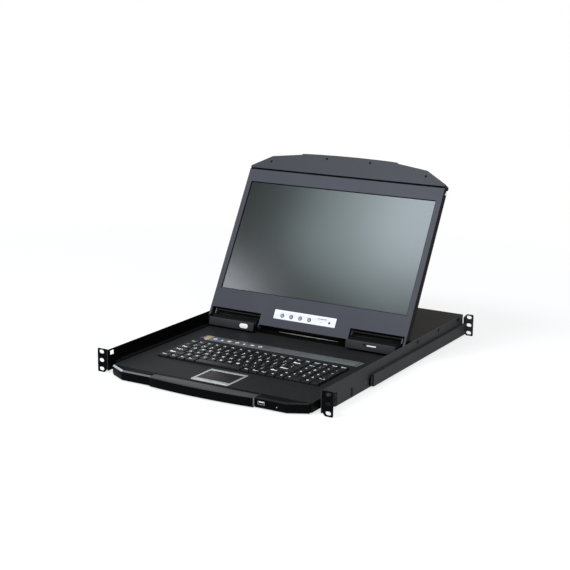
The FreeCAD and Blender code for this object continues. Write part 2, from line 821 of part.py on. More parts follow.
def key_rows():
    """The keys of every row as (left x, front y, width, depth), by the row's name."""
    left = -field_half_width
    pad_left = left + main_block_units * key_pitch_x
    rows = {}

    def add(name, row, units, start):
        x = start
        for unit in units:
            y = key_field_front_y + row * key_pitch_y
            rows.setdefault(name, []).append((x, y, unit * key_pitch_x, key_pitch_y))
            x += unit * key_pitch_x
        return x

    add("keys_function_row", 5, [1.0] * (main_block_units + numpad_columns), left)
    add("keys_number_row", 4, number_row + [1.0] * numpad_columns, left)
    tall_x = add("keys_upper_row", 3, upper_row + [1.0] * (numpad_columns - 1), left)
    add("keys_home_row", 2, home_row + [1.0] * (numpad_columns - 1), left)
    add("keys_lower_row", 1, lower_row + [1.0] * (numpad_columns - 1), left)
    space_x = add("keys_bottom_row", 0, bottom_row_left, left)
    after_space = add("space_bar", 0, [space_units], space_x)
    add("keys_bottom_row", 0, bottom_row_right, after_space)
    add("keys_bottom_row", 0, [2.0, 1.0], pad_left)
    tall_plus = (tall_x, key_field_front_y + 2 * key_pitch_y, key_pitch_x, 2 * key_pitch_y)
    tall_enter = (tall_x, key_field_front_y, key_pitch_x, 2 * key_pitch_y)
    rows["keys_upper_row"].append(tall_plus)
    rows["keys_lower_row"].append(tall_enter)
    return rows


def stem_centres(key):
    """Where a key's stems stand: one under its middle, two under the space bar."""
    x, y, width, depth = key
    middle_x, middle_y = x + width / 2, y + depth / 2
    if width < space_units * key_pitch_x - 1:
        return [(middle_x, middle_y)]
    return [(middle_x + side * space_stem_spread * width, middle_y) for side in (-1, 1)]


def key_cap(key):
    """A cap with sloping sides on its square stem."""
    x, y, width, depth = key
    gap = key_gap / 2

    def loop(inset, z):
        corners = [Vec(x + gap + inset, y + gap + inset, z),
                   Vec(x + width - gap - inset, y + gap + inset, z),
                   Vec(x + width - gap - inset, y + depth - gap - inset, z),
                   Vec(x + gap + inset, y + depth - gap - inset, z)]
        return Part.makePolygon(corners + [corners[0]])
    cap = Part.makeLoft([loop(0, key_bottom_z), loop(key_side_slope, key_top_z)], True, True)
    half = key_stem_size / 2
    stem_z = (key_plate_top_z - key_plate_sheet - key_stem_below_plate, key_bottom_z)
    stems = [block((sx - half, sx + half), (sy - half, sy + half), stem_z) for sx, sy in stem_centres(key)]
    return joined([cap] + stems)


def stem_runs():
    """Each straight run of stems along X, as (first x, last x, y)."""
    runs = {}
    for keys in key_rows().values():
        for key in keys:
            for x, y in stem_centres(key):
                runs.setdefault(round(y, 1), []).append((x, y))
    return [(min(run)[0], max(run)[0], run[0][1]) for run in runs.values()]


def key_plate():
    """Base of the key well with a guide slot under every run of stems and a rim up to the deck."""
    rim = key_plate_rim
    outer = block((-well_half_width - rim, well_half_width + rim), (well_front_y - rim, well_back_y + rim),
                  (key_plate_top_z - key_plate_sheet, deck_under_z))
    inner = block((-well_half_width, well_half_width), (well_front_y, well_back_y),
                  (key_plate_top_z, deck_under_z + 1))
    half = key_stem_size / 2 + key_clearance
    lift = (key_plate_top_z - key_plate_sheet - 1, key_plate_top_z + 1)
    slots = [block((first - half, last + half), (y - half, y + half), lift)
             for first, last, y in stem_runs()]
    return outer.cut(inner).cut(Part.makeCompound(slots))


def touch_button_y():
    """Front and back edge of the touchpad buttons."""
    front = touch_front_y + touch_front_border + touch_button_gap
    return (front, front + touch_button_depth)


def touchpad_frame():
    """Trim round the touchpad and its buttons, resting on the deck."""
    top_z = deck_top_z + touch_rise
    x_range = (-touch_half_width, touch_half_width)
    frame = block(x_range, (touch_front_y, touch_back_y), (deck_top_z, top_z))
    middle_y = (touch_front_y + touch_back_y) / 2
    front = edges_along(frame, Z_AXIS, lambda m: m.y < middle_y)
    frame = frame.makeFillet(touch_front_radius, front)
    back = edges_along(frame, Z_AXIS, lambda m: m.y > middle_y and abs(m.x) > touch_half_width - 0.1)
    frame = frame.makeFillet(touch_back_radius, back)
    inner_x = touch_half_width - touch_side
    button_front, button_back = touch_button_y()
    opening = block((-inner_x, inner_x), (button_front - touch_button_gap, touch_back_y - touch_back_border),
                    (deck_top_z - 1, top_z + 1))
    return frame.cut(opening)


def touchpad_surface():
    """Pad that fills the frame behind the buttons."""
    inner_x = touch_half_width - touch_side
    back_y = touch_back_y - touch_back_border
    front_y = touch_button_y()[1] + touch_button_gap
    top_z = deck_top_z + touch_rise - touch_pad_sink
    return block((-inner_x, inner_x), (front_y, back_y), (top_z - touch_pad_thickness, top_z))


def touchpad_button():
    """Right-hand button in the front of the frame."""
    outer_x = touch_half_width - touch_side - touch_button_gap
    y_range = touch_button_y()
    top_z = deck_top_z + touch_rise
    button = block((touch_button_gap / 2, outer_x), y_range, (top_z - touch_button_thickness, top_z))
    front = edges_along(button, X_AXIS, lambda m: m.z > top_z - 0.1 and m.y < y_range[0] + 0.1)
    return button.makeChamfer(touch_button_gap, front)


def post(foot, height):
    """A board's post."""
    return flat_sided(post_sides, post_radius, foot, Z_AXIS, height)


def keyboard_board():
    """Controller board under the palm rest, carried on posts, with the button switches."""
    touch_top_z = deck_top_z + touch_rise
    switch_top = touch_top_z - touch_button_thickness - touch_button_travel - key_clearance
    board_top = switch_top - board_sheet
    board_z = (board_top - board_sheet, board_top)
    y_range = (keyboard_board_front_y, keyboard_board_back_y)
    half = keyboard_board_half_width
    board = block((-half, half), y_range, board_z)
    pieces = [board]
    button_y = sum(touch_button_y()) / 2
    for side in (-1, 1):
        x = side * (touch_half_width - touch_side) / 2
        pieces.append(block((x - switch_size / 2, x + switch_size / 2),
                            (button_y - switch_size / 2, button_y + switch_size / 2),
                            (board_top, switch_top)))
        for y in (y_range[0] + switch_size, y_range[1] - switch_size):
            pieces.append(post(Vec(side * (half - switch_size), y, tray_floor_z), board_z[0] - tray_floor_z))
    return joined(pieces)


def status_strip():
    """Raised indicator strip behind the keys, cut on a slant at its left end."""
    outline = [(-strip_half_width + strip_end_slant, strip_front_y), (strip_half_width, strip_front_y),
               (strip_half_width, strip_back_y), (-strip_half_width, strip_back_y),
               (-strip_half_width, (strip_front_y + strip_back_y) / 2)]
    return prism_along_z(outline, (deck_top_z, deck_top_z + strip_rise))


# ------------------------------------------------------------------ LCD carriage
def hinge_point(y, z):
    """A point given from the hinge axis, in the model's Y and Z."""
    return Vec(0, hinge_y + y, hinge_z + z)


def hinge_block():
    """Right-hand hinge housing: a leaning fascia, a trough behind it, and the barrel round the pins."""
    bottom = key_top_z + block_floor_gap - hinge_z
    fascia_y = fascia_lean - block_front
    barrel_y = -math.sqrt(barrel_radius ** 2 - trough_floor ** 2)
    middle = (math.pi / 2 + math.atan2(trough_floor, barrel_y)) / 2
    barrel = Part.Arc(hinge_point(barrel_y, trough_floor),
                      hinge_point(barrel_radius * math.cos(middle), barrel_radius * math.sin(middle)),
                      hinge_point(0, barrel_radius)).toShape()
    corners = [(0, barrel_radius), (crossbar_front, barrel_radius), (crossbar_front, bottom),
               (-block_front, bottom),
               (fascia_y, fascia_top), (fascia_y + fascia_sheet, fascia_top),
               (fascia_y + fascia_sheet, trough_floor),
               (barrel_y, trough_floor)]
    points = [hinge_point(y, z) for y, z in corners]
    lines = [Part.makeLine(a, b) for a, b in zip(points, points[1:])]
    section = Part.Face(Part.Wire([barrel] + lines))
    section.translate(X_AXIS * block_inner_x)
    housing = section.extrude(X_AXIS * (block_outer_x - block_inner_x))
    bore_radius = pin_radius + pin_running_gap
    axis_point = hinge_point(0, 0)
    bores = [rod(bore_radius, axis_point + X_AXIS * block_inner_x, X_AXIS, block_bore_depth),
             rod(bore_radius, axis_point + X_AXIS * (block_outer_x - block_bore_depth),
                  X_AXIS, block_bore_depth)]
    return housing.cut(Part.makeCompound(bores))


def hinge_crossbar():
    """Low bar across the carriage, a plate behind each hinge block, side plates for the slide bars."""
    bottom = key_top_z + block_floor_gap - hinge_z

    def piece(outline, x_range):
        return prism_along_x([(hinge_y + y, hinge_z + z) for y, z in outline], x_range)
    beam = piece([(crossbar_front, bottom), (crossbar_back, bottom), (crossbar_back, crossbar_low_top),
                  (crossbar_front, crossbar_low_top)], (-side_plate_x, side_plate_x))
    behind = crossbar_front + crossbar_sheet
    bracket = piece([(crossbar_front, bottom), (behind, bottom),
                     (behind, bracket_top), (crossbar_front, bracket_top)],
                    (block_inner_x, block_outer_x))
    plate_bottom = upper_slot_z - bar_neck_height / 2 - side_plate_drop - hinge_z
    front, corner = -side_plate_front, side_plate_corner
    side = piece([(front, plate_bottom), (crossbar_back, plate_bottom), (crossbar_back, side_plate_top),
                  (front + corner, side_plate_top), (front, side_plate_top - corner)],
                 (side_plate_x, side_plate_x + side_plate_sheet))
    return joined([beam, bracket, side, mirrored(bracket), mirrored(side)])


# ------------------------------------------------------------------ LCD module, drawn flat
def lean_back(shape):
    """Places an LCD piece: turned up from the flat, then moved to the hinge axis."""
    placed = shape.copy()
    placed.rotate(ORIGIN, X_AXIS, 90 - lean_back_degrees)
    placed.translate(hinge_point(0, 0))
    return placed


def lcd_outline(inset):
    """Front outline of the LCD's shell, moved in by inset; its middle reaches between the hinge blocks."""
    side, middle = lcd_half_width - inset, lcd_middle_half - inset
    low, high, drop = lcd_bottom + inset, lcd_top - inset, lcd_middle_bottom + inset
    return [(-side, low), (-middle, low), (-middle, drop), (middle, drop), (middle, low), (side, low),
            (side, high), (-side, high)]


def lcd_slab(depth_range):
    """The LCD's full outline as a slab, with the legs that reach down outside the hinge blocks."""
    slab = prism_along_z(lcd_outline(0), depth_range)
    leg = block((lcd_half_width - lcd_leg_width, lcd_half_width), (lcd_leg_bottom, lcd_bottom), depth_range)
    slab = joined([slab, leg, mirrored(leg)])
    corners = edges_along(slab, Z_AXIS, lambda m: abs(m.x) > lcd_half_width - 1 and m.y < lcd_leg_bottom + 1)
    return slab.makeFillet(lcd_corner_radius, corners)


def shell_slots(depth_range):
    """Cutters for the two outer hinge arms and the two catches through the LCD's rim."""
    gap = catch_slot_gap
    arm = block((outer_arm_x - gap, outer_arm_x + arm_sheet + gap),
                (lcd_bottom - 1, lcd_bottom + cover_rim + 1),
                depth_range)
    catch = block((lcd_half_width - cover_rim - 1, lcd_half_width + 1),
                  (catch_bottom - gap, catch_top + gap),
                  (catch_depth[0] - gap, catch_depth[1] + gap))
    return [arm, mirrored(arm), catch, mirrored(catch)]


def lcd_back_cover():
    """Rear shell with chamfered edges, vents, and slots for the hinge arms and catches."""
    outer = lcd_slab((lcd_back, bezel_back))
    rim = edges_along(outer, Y_AXIS, lambda m: m.z < lcd_back + 0.1 and abs(m.x) > lcd_half_width - 1)
    outer = outer.makeChamfer(back_edge_chamfer, rim)
    inner = prism_along_z(lcd_outline(cover_rim), (cover_inner, bezel_back + 1))
    shell = outer.cut(inner)
    cuts = shell_slots((cover_inner, bezel_back + 1))
    first = -(back_vents - 1) * back_vent_pitch / 2
    for index in range(back_vents):
        x = first + index * back_vent_pitch
        cuts.append(block((x - back_vent_width / 2, x + back_vent_width / 2),
                          (back_vent_bottom, back_vent_bottom + back_vent_length),
                           (lcd_back - 1, cover_inner + 1)))
    return shell.cut(Part.makeCompound(cuts))


def lcd_bezel():
    """Front frame with the screen opening, the control plate's pocket and the button windows."""
    outer = lcd_slab((bezel_back, lcd_front))
    inner = prism_along_z(lcd_outline(lcd_wall), (bezel_back - 1, bezel_inner))
    screen = block((-screen_half_width, screen_half_width), (screen_bottom, screen_bottom + screen_height),
                   (bezel_inner - 1, lcd_front + 1))
    pocket = control_plate_blank((lcd_front - plate_pocket, lcd_front + 1), 0)
    cuts = [inner, screen, pocket] + button_windows((bezel_inner - 1, lcd_front + 1))
    cuts += shell_slots((bezel_back - 1, bezel_inner))[:2]
    return outer.cut(Part.makeCompound(cuts))


def lcd_panel():
    """The display module behind the opening."""
    half = screen_half_width + panel_margin
    return block((-half, half), (screen_bottom - panel_margin, screen_bottom + screen_height + panel_margin),
                 (bezel_inner - panel_thickness, bezel_inner))


def control_plate_blank(depth_range, inset):
    """The control plate's rounded outline."""
    return rounded_rectangle((plate_left_x + inset, plate_right_x - inset),
                             (plate_bottom + inset, plate_top - inset),
                             depth_range, plate_corner_radius)


def button_places():
    """Every front button as (name, x, radius)."""
    places = [("osd_button_%d" % (index + 1), menu_button_first_x + index * menu_button_pitch,
               menu_button_radius)
              for index in range(menu_button_count)]
    return places + [("lcd_power_button", power_button_x, power_button_radius)]


def button_windows(depth_range):
    """Windows behind the control plate, one along the menu buttons and one for the power button."""
    menu_last_x = menu_button_first_x + (menu_button_count - 1) * menu_button_pitch
    windows = []
    for first_x, last_x, radius in ((menu_button_first_x, menu_last_x, menu_button_radius),
                                    (power_button_x, power_button_x, power_button_radius)):
        reach = radius + button_gap
        windows.append(block((first_x - reach, last_x + reach),
                             (menu_button_height - reach, menu_button_height + reach), depth_range))
    return windows


def button_stud(x, radius, depth_range):
    """A front button's outline between two depths."""
    return flat_sided(small_round_sides, radius, Vec(x, menu_button_height, depth_range[0]), Z_AXIS,
                      depth_range[1] - depth_range[0])


def control_plate():
    """Trim plate round the buttons, seated in the bezel's pocket."""
    back = lcd_front - plate_pocket
    plate = control_plate_blank((back, back + plate_thickness), 0)
    through = (back - 1, back + plate_thickness + 1)
    holes = [button_stud(x, radius + button_gap, through) for name, x, radius in button_places()]
    return plate.cut(Part.makeCompound(holes))


def front_button(x, radius):
    """Button kept behind the bezel by its collar."""
    front = lcd_front - plate_pocket + plate_thickness + button_proud
    collar_top = bezel_inner - button_gap
    body = button_stud(x, radius, (front - button_length, front))
    collar = button_stud(x, radius + button_collar, (collar_top - button_collar_thickness, collar_top))
    return joined([body, collar])


def lcd_boards():
    """Button board and display driver board, on posts from the back cover."""
    back = lcd_front - plate_pocket + plate_thickness + button_proud - button_length
    board_front = back - button_travel - button_gap
    y_range = (plate_bottom - button_board_margin / 2, plate_top)
    boards = []
    layout = [((plate_left_x, plate_right_x), y_range, board_front),
              (driver_board_x, driver_board_v, bezel_inner - panel_thickness - board_sheet)]
    for x_range, v_range, front in layout:
        posts = [post(Vec(x, v, cover_inner), front - board_sheet - cover_inner)
                 for x in (x_range[0] + 2 * post_radius, x_range[1] - 2 * post_radius)
                 for v in (v_range[0] + post_radius, v_range[1] - post_radius)]
        board = block(x_range, v_range, (front - board_sheet, front))
        boards.append(joined([board] + posts))
    return boards


def lcd_handle():
    """Bowed handle along the top edge: bevelled ends, stepped grip, round edge, a groove along its foot."""
    right = [Vec(lcd_half_width, lcd_top, 0), Vec(lcd_half_width, handle_tip, 0),
             Vec(handle_bevel_x, handle_bevel, 0), Vec(handle_step_x, handle_step, 0),
             Vec(handle_step_x - handle_step_run, handle_step + handle_step_rise, 0)]
    left = [Vec(-p.x, p.y, 0) for p in reversed(right)]
    bow = Part.Arc(right[-1], Vec(0, handle_top, 0), left[0]).toShape()
    lines = [Part.makeLine(a, b) for chain in (right, left) for a, b in zip(chain, chain[1:])]
    lines.append(Part.makeLine(left[-1], right[0]))
    outline = Part.Wire(Part.__sortEdges__([bow] + lines))
    slab = Part.Face(outline).extrude(Z_AXIS * lcd_thickness)
    slab.translate(Z_AXIS * lcd_back)
    tips = edges_along(slab, Z_AXIS, lambda m: abs(m.x) > lcd_half_width - 1 and m.y > handle_tip - 1)
    slab = slab.makeFillet(handle_tip_radius, tips)
    edge_back = lcd_front - handle_edge_thickness
    beyond = handle_top + 1
    profile = [(lcd_top, lcd_back), (handle_tip, lcd_back), (beyond, edge_back),
               (beyond, lcd_front - handle_edge_radius), (handle_top - handle_edge_radius, lcd_front),
               (lcd_top + handle_groove_width, lcd_front),
               (lcd_top + handle_groove_width, lcd_front - handle_groove_depth),
               (lcd_top, lcd_front - handle_groove_depth)]
    return slab.common(prism_along_x(profile, (-lcd_half_width - 1, lcd_half_width + 1)))


def handle_bumpers():
    """Small rubber buffers on the handle's front face."""
    return [flat_sided(post_sides, bumper_radius, Vec(side * x, v, lcd_front), Z_AXIS, bumper_rise)
            for x, v in bumper_places for side in (-1, 1)]


def hinge_arm(face_x, pin_direction):
    """Hinge leaf in a plane across the axis, with its foot on the back cover and its pin welded on."""
    inside = face_x > lcd_middle_half + arm_sheet
    top = arm_reach if inside else lcd_bottom - catch_slot_gap
    front = bezel_back - arm_skin_gap
    back = cover_inner if inside else lcd_back + arm_sheet
    radius = arm_end_radius
    leaf = [(0, -radius), (lcd_bottom / 2, back), (top, back),
            (top, front), (lcd_bottom / 2, front), (0, radius)]
    body = prism_along_x(leaf, (face_x, face_x + arm_sheet))
    end = flat_sided(small_round_sides, radius, Vec(face_x, 0, 0), X_AXIS, arm_sheet)
    start_x = face_x + arm_sheet if pin_direction > 0 else face_x
    pin = rod(pin_radius, Vec(start_x, 0, 0), X_AXIS * pin_direction, pin_length + arm_block_gap)
    pieces = [body, end, pin]
    if inside:
        foot_x = (face_x + arm_sheet - arm_foot_width, face_x)
        pieces.append(block(foot_x, (lcd_bottom + cover_rim + 1, top), (back, back + arm_sheet)))
    return joined(pieces)


def hinge_arms():
    """Two leaves on each side: one beside the LCD's middle, one inside its outer corner."""
    inner = hinge_arm(inner_arm_x, 1)
    outer = hinge_arm(outer_arm_x, -1)
    return [inner, outer, mirrored(inner), mirrored(outer)]


def latch():
    """Right-hand release catch: a tab through the LCD's rim with a shoulder inside it."""
    tip_x = wall_inner - catch_wall_gap
    tab = block((tip_x - catch_length, tip_x), (catch_bottom, catch_top), catch_depth)
    shoulder_x = lcd_half_width - cover_rim - catch_travel - catch_slot_gap
    shoulder = block((tip_x - catch_length, shoulder_x),
                     (catch_bottom - catch_shoulder, catch_top - catch_shoulder),
                     catch_depth)
    return joined([tab, shoulder])


# ------------------------------------------------------------------ rear electronics
def power_centre_z():
    """Height of the mains inlet and the power switch."""
    return floor_z + inlet_height / 2 + inlet_flange + chassis_sheet * 2


def switch_housing_width():
    """Outside width of the rocker's housing."""
    return rocker_width + 2 * (rocker_side_gap + rocker_pin_length)


def board_top_z():
    """Upper face of the main board."""
    return floor_z + board_height + board_sheet


def jack_centre_z():
    """Height of the network-style jacks, which stand on the main board."""
    return board_top_z() + jack_height / 2


def dsub_centre_z():
    """Height of the D-shaped connector, which stands on the main board."""
    return board_top_z() + dsub_height / 2


def jack_centres():
    """X of each jack."""
    return [jack_first_x + index * jack_pitch for index in range(jack_count)]


def main_board():
    """Board on posts with chips and a finned heat sink."""
    top = board_top_z()
    pieces = [block(board_x, (board_y[0], board_y[1] - rear_panel_foot), (top - board_sheet, top))]
    inset = 2 * post_radius
    for x in (board_x[0] + inset, board_x[1] - inset):
        for y in (board_y[0] + inset, board_y[1] - rear_panel_foot - inset):
            pieces.append(post(Vec(x, y, floor_z), board_height))
    for index in range(2):
        x = board_x[0] + chip_pitch * (index + 0.5)
        y = board_y[0] + chip_pitch
        pieces.append(block((x, x + chip_size), (y, y + chip_size), (top, top + chip_height)))
    sink_x = board_x[0] + chip_pitch * 2.5
    sink_y = board_y[0] + chip_pitch
    pieces.append(block((sink_x, sink_x + sink_size), (sink_y, sink_y + sink_size),
                        (top, top + chip_height)))
    step = (sink_size - fin_sheet) / (sink_fins - 1)
    for index in range(sink_fins):
        x = sink_x + index * step
        pieces.append(block((x, x + fin_sheet), (sink_y, sink_y + sink_size),
                            (top + chip_height, top + sink_height)))
    return joined(pieces)


def power_supply():
    """Boxed supply with a row of vents in its lid."""
    case = block(supply_x, supply_y, (floor_z, floor_z + supply_height))
    sheet = supply_sheet
    inner = block((supply_x[0] + sheet, supply_x[1] - sheet), (supply_y[0] + sheet, supply_y[1] - sheet),
                  (floor_z + sheet, floor_z + supply_height - sheet))
    vents = []
    for index in range(sink_fins):
        y = supply_y[0] + vent_pitch * (index + 2)
        vents.append(block((supply_x[0] + chip_size, supply_x[1] - chip_size), (y, y + vent_width),
                           (floor_z + supply_height - 2 * sheet, floor_z + supply_height + 1)))
    return case.cut(Part.makeCompound([inner] + vents))


def power_inlet():
    """Mains inlet with three blades, and beside it the rocker's housing."""
    outer_y = rear_panel_y()[1]
    z = power_centre_z()
    face_y = outer_y + inlet_flange_sheet
    width = inlet_width / 2
    height = inlet_height / 2
    x = inlet_centre_x
    body = block((x - width, x + width), (outer_y - inlet_depth, outer_y), (z - height, z + height))
    flange = block((x - width - inlet_flange, x + width + inlet_flange), (outer_y, face_y),
                   (z - height - inlet_flange, z + height + inlet_flange))
    half_x, half_z = inlet_cavity_width / 2, inlet_cavity_height / 2
    cavity = block((x - half_x, x + half_x), (face_y - inlet_cavity_depth, face_y + 1),
                   (z - half_z, z + half_z))
    inlet = joined([body, flange]).cut(cavity)
    blades = []
    for column, rise in ((-1, -1), (0, 1), (1, -1)):
        pin_x = x + column * inlet_pin_pitch
        pin_z = z + rise * inlet_pin_rise / 2
        blades.append(block((pin_x - inlet_pin_width / 2, pin_x + inlet_pin_width / 2),
                            (face_y - inlet_cavity_depth, face_y - inlet_cavity_depth + inlet_pin_length),
                            (pin_z - inlet_pin_height / 2, pin_z + inlet_pin_height / 2)))
    return [joined([inlet] + blades), switch_housing()]


def switch_housing():
    """Open box with a bore in each cheek for the rocker's pins."""
    outer_y = rear_panel_y()[1]
    z = power_centre_z()
    face_y = outer_y + inlet_flange_sheet
    x = switch_centre_x
    half_width = switch_housing_width() / 2
    height = inlet_height / 2
    body = block((x - half_width, x + half_width), (outer_y - inlet_depth, outer_y),
                 (z - height, z + height))
    flange = block((x - half_width - inlet_flange / 2, x + half_width + inlet_flange / 2), (outer_y, face_y),
                   (z - height - inlet_flange, z + height + inlet_flange))
    half_rocker = rocker_width / 2 + rocker_side_gap
    half_open = rocker_half_height + rocker_end_gap
    cavity = block((x - half_rocker, x + half_rocker), (face_y - inlet_cavity_depth, face_y + 1),
                   (z - half_open, z + half_open))
    bore = rod(rocker_pin_radius + pin_running_gap, Vec(x - half_width, rocker_axis_y(), z),
               X_AXIS, 2 * half_width)
    return joined([body, flange]).cut(cavity).cut(bore)


def rocker_axis_y():
    """The rocker turns about a line behind the panel's face."""
    return rear_panel_y()[0] - rocker_pin_radius


def power_switch():
    """Rocker with a waisted face and a pin each side, pressed down at its lower end."""
    z = power_centre_z()
    half = rocker_half_height
    face = rear_panel_y()[1] + inlet_flange_sheet - rocker_axis_y()
    tip = face + rocker_rim - rocker_waist
    shoulder = half * rocker_shoulder
    section = [(-rocker_back, 0), (0, -shoulder), (tip, -half), (face, 0), (tip, half), (0, shoulder)]
    body = prism_along_x(section, (-rocker_width / 2, rocker_width / 2))
    pins = [flat_sided(small_round_sides, rocker_pin_radius, Vec(side * rocker_width / 2, 0, 0), X_AXIS * side,
                       rocker_side_gap + rocker_pin_length - pin_running_gap) for side in (-1, 1)]
    rocker = joined([body] + pins)
    rocker.rotate(ORIGIN, X_AXIS, -rocker_tilt_degrees)
    rocker.translate(Vec(switch_centre_x, rocker_axis_y(), z))
    return rocker


def rear_ports():
    """D-shaped connector and the jacks, standing on the main board behind the rear panel."""
    inner_y, outer_y = rear_panel_y()
    top = board_top_z()
    body = block((dsub_centre_x - dsub_width / 2, dsub_centre_x + dsub_width / 2),
                 (inner_y - dsub_depth, inner_y),
                 (top, top + dsub_height))
    wide, narrow, rise = dsub_shell_half_wide, dsub_shell_half_narrow, dsub_shell_half_height
    shell_outline = [(dsub_centre_x - narrow, dsub_centre_z() - rise),
                     (dsub_centre_x + narrow, dsub_centre_z() - rise),
                     (dsub_centre_x + wide, dsub_centre_z() + rise),
                     (dsub_centre_x - wide, dsub_centre_z() + rise)]
    shell = prism_along_y(shell_outline, (inner_y, outer_y + dsub_shell_reach))
    ports = [joined([body, shell])]
    for x in jack_centres():
        case = block((x - jack_width / 2, x + jack_width / 2), (outer_y - jack_depth, outer_y + 1),
                     (top, top + jack_height))
        half_x, half_z = jack_cavity_width / 2, jack_cavity_height / 2
        cavity = block((x - half_x, x + half_x), (outer_y - jack_cavity_depth, outer_y + 2),
                       (jack_centre_z() - half_z, jack_centre_z() + half_z))
        ports.append(case.cut(cavity))
    return ports


def chassis_screws():
    """Screw and rivet heads on the outside of the walls, shanks in their holes."""
    solids = []
    places = [(y, z, half_chassis) for y, z in wall_screw_centres() + cover_screw_centres()]
    places += [(y, z, half_chassis + ear_flange_sheet) for y, z in ear_screw_centres()]
    for y, z, face_x in places:
        head = flat_sided(fastener_sides, wall_screw_radius, Vec(face_x, y, z), X_AXIS, wall_screw_head)
        screw = joined([head, wall_screw_shank(y, z, face_x - wall_inner)])
        solids += [screw, mirrored(screw)]
    return solids


# ------------------------------------------------------------------ write every sub-part
def main():
    """Builds and writes the sub-parts, body by body."""
    os.makedirs("parts", exist_ok=True)
    write("chassis_pan", [chassis_pan()])
    write("rear_panel", [rear_panel()])
    write("top_cover", [top_cover()])
    write("main_board", [main_board()])
    write("power_supply", [power_supply()])
    write("power_inlet", power_inlet())
    write("power_switch", [power_switch()])
    write("rear_ports", rear_ports())
    write("chassis_screws", chassis_screws())
    guide = outer_guide()
    write("rail_guides", [guide, mirrored(guide)])

    handed = {"front_ear": front_ear(), "rear_rail": rear_bracket(), "slide_channel": slide_channel(),
              "keyboard_slide": slide_bar(lower_slot_z, tray_half_width),
              "lcd_slide": slide_bar(upper_slot_z, side_plate_x + side_plate_sheet),
              "hinge_block": hinge_block(), "touchpad_button": touchpad_button(),
              "latch": lean_back(latch())}
    for name, shape in handed.items():
        write(name + "_right", [shape])
        write(name + "_left", [mirrored(shape)])

    write("keyboard_tray", [keyboard_tray()])
    write("keyboard_deck", [keyboard_deck()])
    write("front_bar_left", [front_bar_left()])
    write("front_bar_right", [front_bar_right()])
    write("front_handle", [front_handle()])
    write("usb_port", [usb_port()])
    write("key_plate", [key_plate()])
    write("keyboard_board", [keyboard_board()])
    write("status_strip", [status_strip()])
    write("touchpad_frame", [touchpad_frame()])
    write("touchpad_surface", [touchpad_surface()])
    for name, keys in key_rows().items():
        write(name, [key_cap(key) for key in keys])

    write("hinge_crossbar", [hinge_crossbar()])
    write("lcd_back_cover", [lean_back(lcd_back_cover())])
    write("lcd_bezel", [lean_back(lcd_bezel())])
    write("lcd_panel", [lean_back(lcd_panel())])
    write("lcd_handle", [lean_back(lcd_handle())])
    write("lcd_boards", [lean_back(board) for board in lcd_boards()])
    write("control_plate", [lean_back(control_plate())])
    write("handle_bumpers", [lean_back(bumper) for bumper in handle_bumpers()])
    write("hinge_arms", [lean_back(arm) for arm in hinge_arms()])
    for name, x, radius in button_places():
        write(name, [lean_back(front_button(x, radius))])


main()
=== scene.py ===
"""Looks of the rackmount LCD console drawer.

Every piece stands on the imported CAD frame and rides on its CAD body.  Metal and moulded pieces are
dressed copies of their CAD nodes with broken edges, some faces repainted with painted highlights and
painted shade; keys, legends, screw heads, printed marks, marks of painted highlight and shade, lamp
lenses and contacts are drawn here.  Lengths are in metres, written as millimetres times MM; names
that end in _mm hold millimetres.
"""

import functools
import json
import math

import bmesh
import bpy
from mathutils import Matrix, Vector


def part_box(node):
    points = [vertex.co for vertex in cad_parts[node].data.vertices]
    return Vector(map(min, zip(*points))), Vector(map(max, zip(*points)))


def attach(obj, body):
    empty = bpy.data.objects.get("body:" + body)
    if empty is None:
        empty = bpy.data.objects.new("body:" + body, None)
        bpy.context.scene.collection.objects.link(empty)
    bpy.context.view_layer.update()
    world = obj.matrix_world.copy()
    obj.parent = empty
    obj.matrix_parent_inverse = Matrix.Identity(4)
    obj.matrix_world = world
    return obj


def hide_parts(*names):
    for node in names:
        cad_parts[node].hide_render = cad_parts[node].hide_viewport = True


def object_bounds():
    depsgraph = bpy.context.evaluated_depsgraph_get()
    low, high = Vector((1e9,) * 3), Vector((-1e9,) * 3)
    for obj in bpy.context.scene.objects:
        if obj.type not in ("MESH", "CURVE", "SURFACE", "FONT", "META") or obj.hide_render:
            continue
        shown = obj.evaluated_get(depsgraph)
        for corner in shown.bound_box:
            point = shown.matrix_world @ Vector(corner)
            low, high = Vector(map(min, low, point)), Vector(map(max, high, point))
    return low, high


MM = 0.001
COAT, PLASTIC, METAL = "black_powder_coat", "black_plastic", "zinc_steel"

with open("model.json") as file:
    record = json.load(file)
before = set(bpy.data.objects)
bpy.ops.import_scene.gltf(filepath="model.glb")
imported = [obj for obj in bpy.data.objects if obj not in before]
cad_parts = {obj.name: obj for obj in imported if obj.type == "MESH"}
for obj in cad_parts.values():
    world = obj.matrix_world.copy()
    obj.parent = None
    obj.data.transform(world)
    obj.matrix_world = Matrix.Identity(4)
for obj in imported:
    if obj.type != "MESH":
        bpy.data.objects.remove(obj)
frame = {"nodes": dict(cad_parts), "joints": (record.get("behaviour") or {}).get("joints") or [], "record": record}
cad_low, cad_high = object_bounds()
BODY_OF = {node: body for body, nodes in frame["record"]["behaviour"]["bodies"].items() for node in nodes}


# ---- colours and materials
def srgb(red, green, blue):
    """Linear colour of an 8-bit sRGB colour."""
    def channel(value):
        value /= 255
        return value / 12.92 if value <= 0.04045 else ((value + 0.055) / 1.055) ** 2.4
    return (channel(red), channel(green), channel(blue), 1.0)


def scaled(colour, factor):
    return tuple(min(1.0, c * factor) for c in colour[:3]) + (1.0,)


def set_inputs(node, values):
    """Sets a shader node's inputs, each given by its name or number."""
    for socket, value in values.items():
        node.inputs[socket].default_value = value


def new_node(tree, kind, values=None, **settings):
    """Adds a shader node with some of its inputs and of its own settings."""
    node = tree.nodes.new("ShaderNode" + kind)
    for setting, value in settings.items():
        setattr(node, setting, value)
    set_inputs(node, values or {})
    return node


